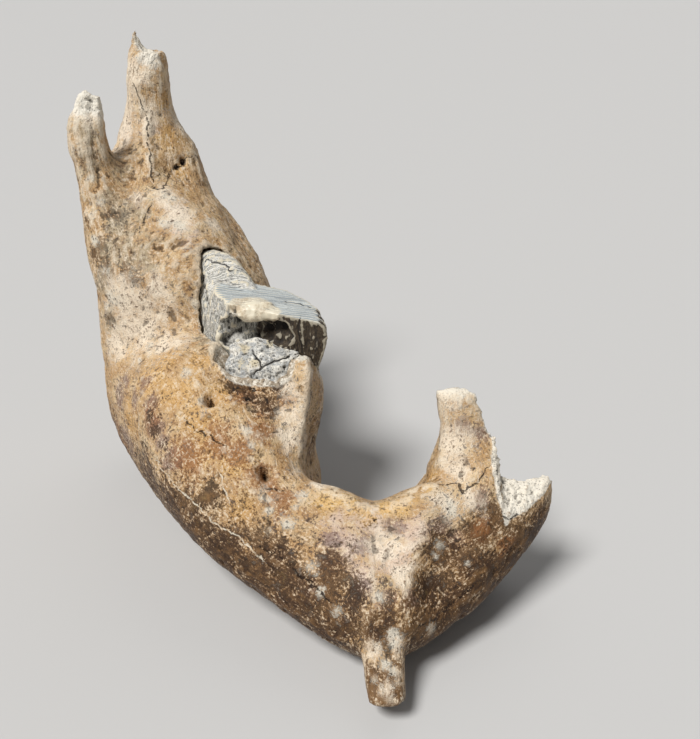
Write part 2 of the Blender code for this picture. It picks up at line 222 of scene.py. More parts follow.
def lumps(points, size, seed, octaves=3, rough=0.5):
    # gradient noise: in each cell of a lattice the slopes given to its eight corners are
    # blended by smooth steps; every further octave is half as big and less high
    lattice, shift, swell = 32, 11.37, 1.6
    slopes = np.random.default_rng(seed).normal(size=(lattice, lattice, lattice, 3))
    slopes /= np.linalg.norm(slopes, axis=-1, keepdims=True)
    total = np.zeros(len(points))
    height = 1.0
    for octave in range(octaves):
        p = points / (size / 2 ** octave) + shift * octave
        cell = np.floor(p).astype(int)
        f = p - cell
        w = f * f * f * (f * (f * 6 - 15) + 10)
        for corner in np.ndindex(2, 2, 2):
            at = (cell + corner) % lattice
            slope = slopes[at[:, 0], at[:, 1], at[:, 2]]
            share = np.prod(np.where(corner, w, 1 - w), axis=1)
            total += height * share * ((f - corner) * slope).sum(1)
        height *= rough
    return total * swell


def smoothStep(value, low, high):
    # 0 below the low value, 1 above the high one, and 3 t squared less 2 t cubed between them
    t = np.clip((value - low) / (high - low), 0, 1)
    return t * t * (3 - 2 * t)


def lineField(points, normals, line, depth=1.0):
    # distance to a line of straight stretches or to a single place, and on which side of it a
    # point lies as seen from outside; the part straight through the skin counts times the depth
    line = np.array(line, float)
    best = np.full(len(points), np.inf)
    side = np.ones(len(points))
    for start, end in zip(line, line[1:] if len(line) > 1 else line):
        way = end - start
        share = np.clip((points - start) @ way / max(way @ way, 1e-9), 0, 1)
        gap = points - start - share[:, None] * way
        gap -= (1 - depth) * (gap * normals).sum(1)[:, None] * normals
        distance = np.linalg.norm(gap, axis=1)
        closer = distance < best
        best = np.where(closer, distance, best)
        side = np.where(closer, np.sign((np.cross(way, normals) * gap).sum(1)), side)
    return best, side


def nearLines(points, normals, lines):
    # distance to the nearest of several lines, with the side of it that a point lies on
    nearest = np.full(len(points), np.inf)
    signed = np.full(len(points), np.inf)
    for line in lines:
        distance, side = lineField(points, normals, line, throughSkin)
        closer = distance < nearest
        nearest = np.where(closer, distance, nearest)
        signed = np.where(closer, distance * side, signed)
    return nearest, signed


def spotField(points, spots, reach):
    # the strongest spot's share: e to the minus square of the distance over the reach
    total = np.zeros(len(points))
    for spot in spots:
        distance = np.linalg.norm(points - spot[:3], axis=1)
        wide = spot[3] if len(spot) > 3 else reach
        total = np.maximum(total, np.exp(-(distance / wide) ** 2))
    return total


def grainField(points, paths, spread):
    # length along the limbs' middle lines and two ways across them; every stretch of a line
    # counts with a weight that falls off with the distance from it
    total = np.zeros((len(points), 3))
    weights = np.zeros(len(points))
    for run, path in paths:
        path = np.array(path, float)
        for start, end in zip(path[:-1], path[1:]):
            way = end - start
            length = np.linalg.norm(way)
            way /= length
            across = np.array([1.0, 0, 0]) - way[0] * way
            across /= np.linalg.norm(across)
            along = (points - start) @ way
            gap = points - start - np.clip(along, 0, length)[:, None] * way
            weight = np.exp(-((gap ** 2).sum(1)) / (2 * spread ** 2)) + 1e-12
            here = np.stack([run + along, gap @ across, gap @ np.cross(way, across)], -1)
            total += weight[:, None] * here
            weights += weight
            run += length
    return total / weights[:, None]


def hollowField(item, points, rounds):
    # how far the skin lies below the mean of its surroundings: the mean is taken over the
    # neighbours again and again
    edges = readEdges(item)
    a, b = edges.T
    count = np.bincount(edges.ravel(), minlength=len(points))[:, None]
    mean = points.copy()
    for _ in range(rounds):
        pulled = np.stack([np.bincount(a, mean[b, k], len(points))
                           + np.bincount(b, mean[a, k], len(points)) for k in range(3)], -1)
        mean = 0.5 * mean + 0.5 * pulled / count
    return ((mean - points) * readNormals(item)).sum(1)


# rows: x, y, z, heading of the outer side, lean, roll, outer, inner, upper, lower half size,
# squareness, squareness of the inner upper quarter

bone = dict(
    chin=[
        (0, 20, 48, -90, 0, -35, 48, 60, 27, 52, 2.4, 2.4),
        (-33, 40, 54, -112, 0, -41, 48, 54, 29, 47, 2.4, 2.6),
        (-60, 68, 64, -134, 0, -46, 51, 36, 36, 50, 2.4, 3.0),
        (-80, 100, 76, -156, 0, -34, 64, 42, 54, 62, 2.4, 4.0)],
    body=[
        (-98, 138, 82, -172, 0, -10, 74, 70, 76, 82, 2.4, 6.0),
        (-116, 182, 84, -180, 0, -4, 84, 84, 78, 88.5, 2.4, 6.0),
        (-134, 228, 88, -186, 0, 0, 92, 80, 78, 90, 2.4, 3.5),
        (-146, 268, 96, -190, 0, 0, 86, 74, 104, 86, 2.6, 2.6),
        (-151, 300, 110, -190, 0, 0, 70, 66, 100, 70, 2.4, 2.4),
        (-154, 324, 126, -190, 0, 0, 40, 38, 60, 42, 2.2, 2.2)],
    left=[
        (98, 136, 84, -8, 0, -20, 54, 44, 64, 74, 2.4, 2.4),
        (80, 100, 76, -24, 0, -34, 57, 34, 54, 64, 2.4, 4.0),
        (60, 68, 64, -46, 0, -46, 54, 36, 36, 50, 2.4, 3.0),
        (33, 40, 54, -68, 0, -41, 50, 52, 29, 47, 2.4, 2.6)],
    # level sections: x, y, z, turn, outer, inner, front, rear half size, squareness
    rising=[
        (-142, 246, 40, 0, 40, 40, 40, 30, 2.2),
        (-147, 254, 80, 0, 74, 66, 56, 56, 2.4),
        (-150, 264, 125, 0, 81, 75, 62, 72, 2.4),
        (-152, 276, 165, -2, 81, 76, 66, 74, 2.4),
        (-157, 286, 200, -8, 76, 66, 68, 68, 2.6),
        (-170, 300, 228, -16, 67, 57, 54, 56, 2.6),
        (-184, 312, 252, -24, 60, 42, 38, 40, 2.4),
        (-194, 320, 268, -30, 40, 26, 18, 20, 2.2),
        (-199, 323, 280, -32, 18, 12, 8, 10, 2.0)],
    coronoid=[
        (-196, 262, 160, 0, 24, 34, 24, 30, 2.4),
        (-200, 268, 195, 0, 24, 34, 26, 32, 2.4),
        (-208, 277, 228, 0, 20, 30, 22, 28, 2.4),
        (-219, 285, 258, 0, 18, 22, 17, 24, 2.4),
        (-225, 292, 288, 0, 15, 17, 14, 20, 2.4),
        (-224, 297, 313, 0, 14.5, 14, 11, 16, 2.4)],
    coronoidTop=[
        (-221, 288, 268, 0, 12, 14, 10, 16, 2.4),
        (-225, 292, 288, 0, 15, 17, 14, 20, 2.4),
        (-224, 297, 313, 0, 14.5, 14, 11, 16, 2.4)],
    frontTip=[
        (-227, 298, 300, 0, 11, 10, 9, 12, 2.2),
        (-226, 299, 320, 0, 8, 7, 7, 9, 2.2),
        (-223, 300, 335, 0, 4, 4, 4, 5, 2.0)],
    innerTip=[
        (-217, 298, 298, 0, 10, 8, 9, 12, 2.2),
        (-216, 299, 318, 0, 7, 6, 7, 9, 2.2),
        (-214, 300, 331, 0, 5, 4, 4, 5, 2.0)],
    condyle=[
        (-160, 312, 200, 0, 44, 46, 32, 40, 2.4),
        (-170, 328, 240, 0, 42, 42, 30, 42, 2.4),
        (-177, 342, 275, 0, 38, 37, 24, 36, 2.4),
        (-181, 350, 303, 0, 26, 23, 19, 28, 2.4),
        (-180, 354, 331, 0, 17, 18, 17, 23, 2.4),
        (-177, 358, 359, 0, 13.5, 13.5, 13, 17, 2.6)],
    condyleTop=[
        (-180, 349, 296, 0, 17, 17, 12, 20, 2.4),
        (-180, 354, 331, 0, 17, 18, 17, 23, 2.4),
        (-177, 358, 359, 0, 13.5, 13.5, 13, 17, 2.6)],
    condyleSpike=[
        (-187, 360, 342, 0, 9, 12, 9, 10, 2.2),
        (-189, 361, 361, 0, 6, 9, 6, 7, 2.0),
        (-190, 362, 377, 0, 2, 2.5, 2, 2.5, 2.0)],
    stubCrest=[
        (64, 90, 84, 0, 26, 20, 24, 26, 2.6),
        (64, 97, 112, 0, 26, 24, 22, 22, 2.6),
        (65, 104, 138, 0, 22, 19, 16, 16, 2.6),
        (61, 106, 155, 0, 15, 14, 10, 12, 2.4)],
    # sections across the spout: x, y, z, half width, half thickness
    spout=[(0, 24, 50, 21, 19), (0, -8, 34, 16, 15), (0, -28, 24, 13.5, 12.5),
           (0, -48, 14, 13, 11)],
    spoutDip=55, spoutSquare=3.4,
    # height, reach, line: raised or pressed in along the line, fading with distance
    marks=[
        (-10, 17, [(-102, 130, 154), (-84, 124, 153), (-64, 128, 153)]),
        (-6, 13, [(-88, 106, 147), (-76, 104, 143)]),
        (5, 9, [(-48, 146, 160), (-49, 128, 140), (-50, 108, 124), (-46, 78, 112),
                (-34, 62, 103), (-16, 50, 95), (2, 46, 92), (20, 50, 94), (36, 62, 102)]),
        (10, 8, [(-52, 140, 152), (-54, 128, 137), (-54, 114, 119), (-52, 100, 109)]),
        (3.5, 9, [(13, -17, 47), (15, -6, 60), (21, 9, 70), (28, 27, 82), (38, 48, 96),
                  (46, 74, 112)]),
        (2.5, 8, [(-12, -21, 41), (-8, -6, 60), (-6, 8, 70)]),
        (-7, 17, [(36, 6, 62), (48, 24, 72)]),
        (-4, 14, [(0, 18, 78), (2, 34, 88)]),
        (-6, 26, [(-228, 262, 120), (-226, 262, 170)]),
        (6, 13, [(-222, 262, 235), (-204, 250, 212), (-186, 236, 190)]),
        (9, 13, [(-201, 308, 271)]),
        (-4, 14, [(-190, 284, 247), (-184, 276, 240), (-166, 262, 226)]),
        (5, 12, [(-186, 356, 350), (-184, 342, 314), (-180, 322, 282), (-178, 304, 256)]),
        (-2, 15, [(-150, 316, 268), (-134, 290, 244)]),
        (-6, 20, [(-108, 300, 222), (-98, 282, 208)]),
        (-5, 20, [(-90, 300, 150), (-100, 320, 190)]),
        (-14, 28, [(-30, 112, 72), (-30, 140, 72), (-32, 165, 76)]),
        (-12, 25, [(40, 96, 116), (42, 112, 120)])],
    wide=96, sidesPerSpan=10,
    limbVoxel=4.0, limbSmoothings=40,
    voxel=2.6, smoothings=6, cutVoxel=2.0,
    skinVoxel=2.3, skinSmoothings=1,
    # where the cells are halved: the broken rim before the molar, the broken left side, the tips
    fineSpots=[(-80, 150, 150, 36), (-52, 158, 158, 18), (98, 84, 98, 34), (-177, 357, 362, 20),
               (-220, 299, 330, 20), (-117, 120, 140, 13), (-76, 73, 108, 13)],
    socketGap=2.4, cryptGap=3.6, leftmost=132,
)

# the left side's broken faces: one across the rear, and a ledge beside the crest
breaks = dict(
    leftFrom=20, ledgeFrom=70,
    rearCrest=121, rearOuter=87, rearTurn=(62, 100), rearLean=0.08,
    ledgeX=88, ledgeTop=125, crestSteep=12.0,
    ledgeZ=83, ledgeFront=50, ledgeRise=0.40,
    # height, size, octaves and what each octave keeps of the one before; then the seeds
    roughness=(2.2, 15, 4, 0.6), rearSeed=3, ledgeSeed=4,
    # size, height, seed
    wander=(11, 4, 5), upright=0.3,
    hollows=[(98, 108, 44, 12, 26, 9), (78, 116, 92, 15, 18, 26)], hollowBumps=0.2,
)


def rearFace(x, z):
    # y of the rear break over x and z: one plane behind the crest goes over in another
    b = breaks
    turn = smoothStep(x, *b["rearTurn"])
    height, grain, octaves, share = b["roughness"]
    rough = lumps(np.stack([x, 0 * x, z], -1), grain, b["rearSeed"], octaves, share)
    return (b["rearCrest"] + (b["rearOuter"] - b["rearCrest"]) * turn - b["rearLean"] * z
            + height * rough)


def ledgeFace(x, y):
    # z of the ledge over x and y, or of the steep side of the crest where that is higher,
    # and how steep the higher one is
    b = breaks
    places = np.stack([x, y, np.full_like(x, 40)], -1)
    size, height, seed = b["wander"]
    sway = height * lumps(places * (1, b["upright"], 1), size, seed, 2)
    side = b["ledgeTop"] - b["crestSteep"] * (x - b["ledgeX"] + sway)
    ledge = b["ledgeZ"] + b["ledgeRise"] * (y - b["ledgeFront"])
    height, grain, octaves, share = b["roughness"]
    rough = height * lumps(places, grain, b["ledgeSeed"], octaves, share)
    return np.maximum(side, ledge) + rough, np.where(side > ledge, b["crestSteep"], 1.0)


def egg(name, x, y, z, rx, ry, rz, tilt=0, bumps=0.0, seed=1, rings=40):
    # an egg shape: half sizes times the sines and cosines of two angles, turned about X;
    # bumps pushes it in and out by a share
    up = np.linspace(0, np.pi, rings + 2)[1:-1, None]
    turn = 2 * np.pi * np.arange(2 * rings)[None] / (2 * rings)
    unit = np.stack([np.sin(up) * np.cos(turn), np.sin(up) * np.sin(turn),
                     np.cos(up) + 0 * turn], -1)
    unit = unit * (1 + bumps * lumps(unit.reshape(-1, 3), 0.7, seed).reshape(rings, -1, 1))
    ball = unit * (rx, ry, rz)
    a = math.radians(tilt)
    ball = np.stack([ball[..., 0], ball[..., 1] * math.cos(a) - ball[..., 2] * math.sin(a),
                     ball[..., 1] * math.sin(a) + ball[..., 2] * math.cos(a)], -1)
    points, faces = closedTube(ball + (x, y, z))
    return putMesh(name, points, faces)


tooth = dict(
    # rows: x, y, z, heading of the outer side, roll, outer, inner, upper, lower half size,
    # squareness
    worn=[
        (-77, 170, 148, -195, 18, 42, 40, 48, 42, 7.0),
        (-83, 188, 148, -195, 15, 48, 47, 50, 44, 6.0),
        (-85, 204, 149, -195, 10, 44, 46, 50, 44, 4.5),
        (-84, 217, 150, -195, 8, 28, 28, 48, 40, 3.0)],
    rear=[
        (-96, 196, 150, -194, 0, 32, 30, 40, 40, 3.0),
        (-107, 212, 151, -194, 0, 28, 34, 49, 44, 2.8),
        (-115, 228, 154, -194, 0, 26, 32, 59, 46, 2.6),
        (-120, 242, 158, -194, 0, 24, 26, 57, 42, 2.6),
        (-124, 258, 160, -196, 0, 18, 18, 46, 34, 2.4)],
    platePitch=9.4, plateRelief=1.3, plateSharp=0.7, plateBase=0.6,
    wearPoint=(-74, 186, 191), wearNormal=(0.118, -0.075, 0.99),
    # centre and half sizes, with how bumpy they are and the seed
    frontBreaks=[(-98, 173, 170, 23, 15, 16), (-74, 166, 172, 17, 8, 13)], breakBumps=(0.25, 7),
    lobe=(-86, 180, 186, 20, 10, 8), lobeBumps=(0.1, 8),
    perSpan=12, around=120, cutterPerSpan=8, voxel=0.9,
)

stump = dict(at=(-79, 163, 152), size=(29, 25, 13), tilt=24, bumps=0.16, seed=2, rings=60,
             bed=(-80, 163, 160, 36, 29, 15), bedBumps=0.06,
             molarGap=1.5, voxel=0.8, cutVoxel=1.6)


def toothRows(rows, widen):
    # short rows of upright sections made full ones, widened on all sides
    x, y, z, heading, roll, outer, inner, upper, lower, square = np.array(rows, float).T
    return np.stack([x, y, z, heading, 0 * x, roll, outer + widen, inner + widen,
                     upper + widen, lower + widen, square, square], -1)


def toothBlock(name, rows, widen, perSpan, relief=0.0, around=64):
    # a closed block through the tooth's sections, widened on all sides and at both ends; the
    # relief makes one swelling for each plate: a power of the cosine of the way along it
    full = splineRows(toothRows(rows, widen), perSpan)
    for end, beside in ((0, 1), (-1, -2)):
        ahead = full[end, :3] - full[beside, :3]
        full[end, :3] += widen * ahead / np.linalg.norm(ahead)
    run = np.concatenate([[0], np.cumsum(np.linalg.norm(np.diff(full[:, :3], axis=0), axis=1))])
    wave = np.abs(np.cos(np.pi * run / tooth["platePitch"])) ** tooth["plateSharp"]
    wave -= tooth["plateBase"]
    full[:, 6:10] += relief * wave[:, None]
    points, faces = closedTube(carryRings(full, around))
    return putMesh(name, points, faces)


def makeBone():
    # limbs and prongs grow into one skin, which is raised or pressed in by e to the minus square
    # of the distance from each mark over its reach, laid flat on the breaks, and hollowed out
    b = bone
    limbs = joinAll("limbs", [
        loft("sides", np.vstack([b["left"], b["chin"], b["body"]]), b["wide"], b["sidesPerSpan"]),
        loft("rising", levelRows(b["rising"]), b["wide"]),
        loft("coronoid", levelRows(b["coronoid"])),
        loft("condyle", levelRows(b["condyle"]))])
    growTogether(limbs, b["limbVoxel"], b["limbSmoothings"])
    square = b["spoutSquare"]
    spoutRows = [(x, y, z, 0, b["spoutDip"], 0, wide, wide, thick, thick, square, square)
                 for x, y, z, wide, thick in b["spout"]]
    ends = [loft(name, levelRows(b[name]))
            for name in ("coronoidTop", "frontTip", "innerTip", "condyleTop", "condyleSpike",
                         "stubCrest")]
    skin = joinAll("jawBone", [limbs, loft("spout", spoutRows)] + ends)
    growTogether(skin, b["voxel"], b["smoothings"])

    points, normals = readPoints(skin), readNormals(skin)
    push = np.zeros(len(points))
    for height, reach, line in b["marks"]:
        distance, _ = lineField(points, normals, line)
        push += height * np.exp(-(distance / reach) ** 2)
    points += normals * push[:, None]
    points[:, 0] = np.minimum(points[:, 0], b["leftmost"])
    # what lies past a broken face of the left side is laid flat on that face
    x, y, z = points.T
    onLeft = x > breaks["leftFrom"]
    y[:] = np.where(onLeft, np.minimum(y, rearFace(x, z)), y)
    z[:] = np.where(onLeft & (x > breaks["ledgeFrom"]), np.minimum(z, ledgeFace(x, y)[0]), z)
    writePoints(skin, points)
    growTogether(skin, b["skinVoxel"], 0)
    print("bone form", len(skin.data.vertices))

    cutters = [egg("hollow", *hollow, 0, breaks["hollowBumps"]) for hollow in breaks["hollows"]]
    cutters.append(toothBlock("socket", tooth["worn"], b["socketGap"], tooth["cutterPerSpan"]))
    cutters.append(toothBlock("crypt", tooth["rear"], b["cryptGap"], tooth["cutterPerSpan"]))
    seat = [half + b["socketGap"] for half in stump["size"]]
    cutters.append(egg("stumpBed", *stump["bed"], stump["tilt"], stump["bedBumps"]))
    cutters.append(egg("stumpSeat", *stump["at"], *seat, stump["tilt"], stump["bumps"],
                       stump["seed"]))
    carve(skin, cutters, b["cutVoxel"])
    growTogether(skin, b["skinVoxel"], b["skinSmoothings"])
    refine(skin, b["fineSpots"])
    print("bone carved", len(skin.data.vertices))
    return skin


weather = dict(
    # the way the bone's fibres run: the length at the start, and the middle line
    fibres=[
        (0, [(0, -60, 10), (0, 10, 44), (-33, 40, 54), (-60, 68, 64), (-98, 138, 82),
             (-134, 228, 88), (-150, 270, 140), (-157, 290, 200), (-170, 318, 240),
             (-180, 350, 303), (-177, 358, 380)]),
        (0, [(0, -60, 10), (0, 10, 44), (33, 40, 54), (60, 68, 64), (98, 136, 84)]),
        (390, [(-165, 262, 130), (-195, 262, 190), (-208, 277, 228), (-225, 292, 288),
               (-220, 300, 340)]),
        (200, [(64, 94, 84), (61, 106, 160)])],
    fibreSpread=26,
    smoothPlaces=[(-201, 334, 300, 24), (-204, 320, 272, 18), (-160, 275, 249, 20),
                  (-150, 257, 234, 16), (-165, 258, 235, 16)],
    # size, height or depth, seed; the fibres' size is a length and a thickness
    swellings=[(38, 1.1, 20), (12, 0.5, 21)], fibre=(34, 5.0, 0.45, 31),
    pits=(6.5, 1.1, 41), pitFrom=(0.30, 0.75), brokenLumps=(6.0, 1.5, 51), spongyShare=0.8,
    # how the broken faces fade: reach in mm, more where steep, and past the ledge's ends
    brokenReach=3.2, steepReach=1.3, ledgeStart=(-6, 4), ledgeOver=9, ledgeUnder=(-6, -2),
    rimReach=(1.25, 1.5), fibrousFrom=(120, 190),
    # where little may stand out of the bone, how far it may, and how far it may elsewhere
    seatReach=(1.35, 1.6), tight=[(-55, 206, 131, 18)], standOut=-0.3, loose=6.0,
    spongy=[(-177, 358, 366, 15), (-176, 346, 355, 13),
            (-224, 298, 326, 17), (-214, 298, 324, 16), (61, 106, 160, 16),
            (-52, 152, 161, 13), (-54, 163, 164, 9)],
    # depth, half width, line
    hollows=[
        (5, 9, [(-177, 357, 365)]), (-3, 8, [(-113, 168, 155)]),
        (14, 4.4, [(-117, 120, 140)]), (-1.6, 8, [(-119, 115, 134)]),
        (1.6, 2.2, [(-110, 137, 149), (-102, 134, 145), (-91, 130, 144), (-81, 129, 143),
                    (-71, 130, 143), (-59, 135, 146)]),
        (1.5, 2.0, [(-103, 128, 144), (-93, 123, 141), (-82, 121, 139), (-72, 123, 139),
                    (-60, 129, 140)]),
        (1.3, 2.0, [(-91, 116, 137), (-81, 114, 135), (-71, 117, 135), (-62, 122, 135)]),
        (13, 4.2, [(-76, 73, 107)]), (2.0, 6, [(-79, 80, 118), (-77, 70, 104)]),
        (1.6, 2.6, [(-77, 70, 104), (-76, 61, 98), (-75, 51, 91), (-75, 42, 82), (-76, 36, 74)]),
        (6.0, 3.2, [(-151, 323, 271)]), (5.0, 3.0, [(-156, 317, 268)]),
        (3.0, 2.6, [(-153, 238, 221), (-147, 240, 222), (-143, 243, 224)]),
        (2.4, 2.2, [(-167, 238, 221), (-162, 236, 219)]),
        (2.4, 3.4, [(-217, 297, 329), (-217, 291, 316), (-216, 284, 302), (-216, 279, 282),
                    (-214, 272, 263)]),
        (-2.8, 3.8, [(-188, 337, 334), (-185, 334, 326), (-181, 330, 312), (-180, 325, 298),
                     (-180, 318, 286), (-177, 306, 274), (-175, 296, 266)])],
    crackDepth=0.7, crackWidth=1.3, crackNear=(2.2, 4.4), wander=(5.5, 2.2, 60),
    # rounds of averaging for the near and the wide surroundings, and which normals face down,
    # where the bone gets painted shade
    dentRounds=6, hollowRounds=70, facingDown=(-0.45, 0.55),
    darkCracks=[
        [(-188, 337, 334), (-185, 334, 326), (-181, 330, 312), (-180, 325, 298),
         (-180, 318, 286), (-177, 306, 274), (-175, 296, 266), (-173, 285, 257)],
        [(-141, 342, 271), (-148, 329, 273), (-155, 322, 267), (-161, 314, 265),
         (-162, 299, 260), (-164, 286, 257), (-170, 283, 256), (-173, 285, 257)],
        [(-134, 110, 131), (-125, 101, 128), (-115, 95, 125), (-106, 89, 122)],
        [(46, 63, 101), (54, 64, 100), (60, 61, 100), (61, 57, 98), (64, 59, 99),
         (72, 63, 102), (81, 70, 109)],
        [(-79, 36, 72), (-69, 30, 70), (-60, 22, 67), (-51, 14, 63), (-43, 7, 60),
         (-34, 0, 56)],
        [(64, 14, 51), (54, 7, 48), (45, 1, 44), (34, -6, 43), (25, -13, 43)],
        [(-181, 252, 231), (-177, 264, 240), (-173, 270, 246)],
        [(-74, 64, 100), (-64, 62, 101)],
        [(89, 48, 83), (95, 49, 80), (102, 52, 81)],
        # hidden sides
        [(-232, 200, 60), (-236, 232, 66), (-233, 262, 82), (-228, 288, 96)],
        [(-70, 236, 90), (-72, 262, 108), (-78, 286, 128), (-82, 306, 150)],
        [(-20, 84, 40), (-44, 110, 34), (-50, 140, 30)],
        [(-150, 360, 190), (-158, 372, 226), (-166, 374, 262)]],
    paleCracks=[
        [(-157, 104, 99), (-144, 87, 92), (-136, 78, 89), (-129, 71, 87), (-118, 62, 82),
         (-108, 54, 77), (-96, 46, 74), (-87, 39, 70), (-79, 31, 65)],
        [(-109, 75, 107), (-106, 70, 101), (-103, 62, 94)],
        [(-200, 150, 70), (-214, 176, 76), (-226, 206, 84)],
        [(-60, 200, 60), (-58, 230, 70), (-64, 258, 84)]],
)
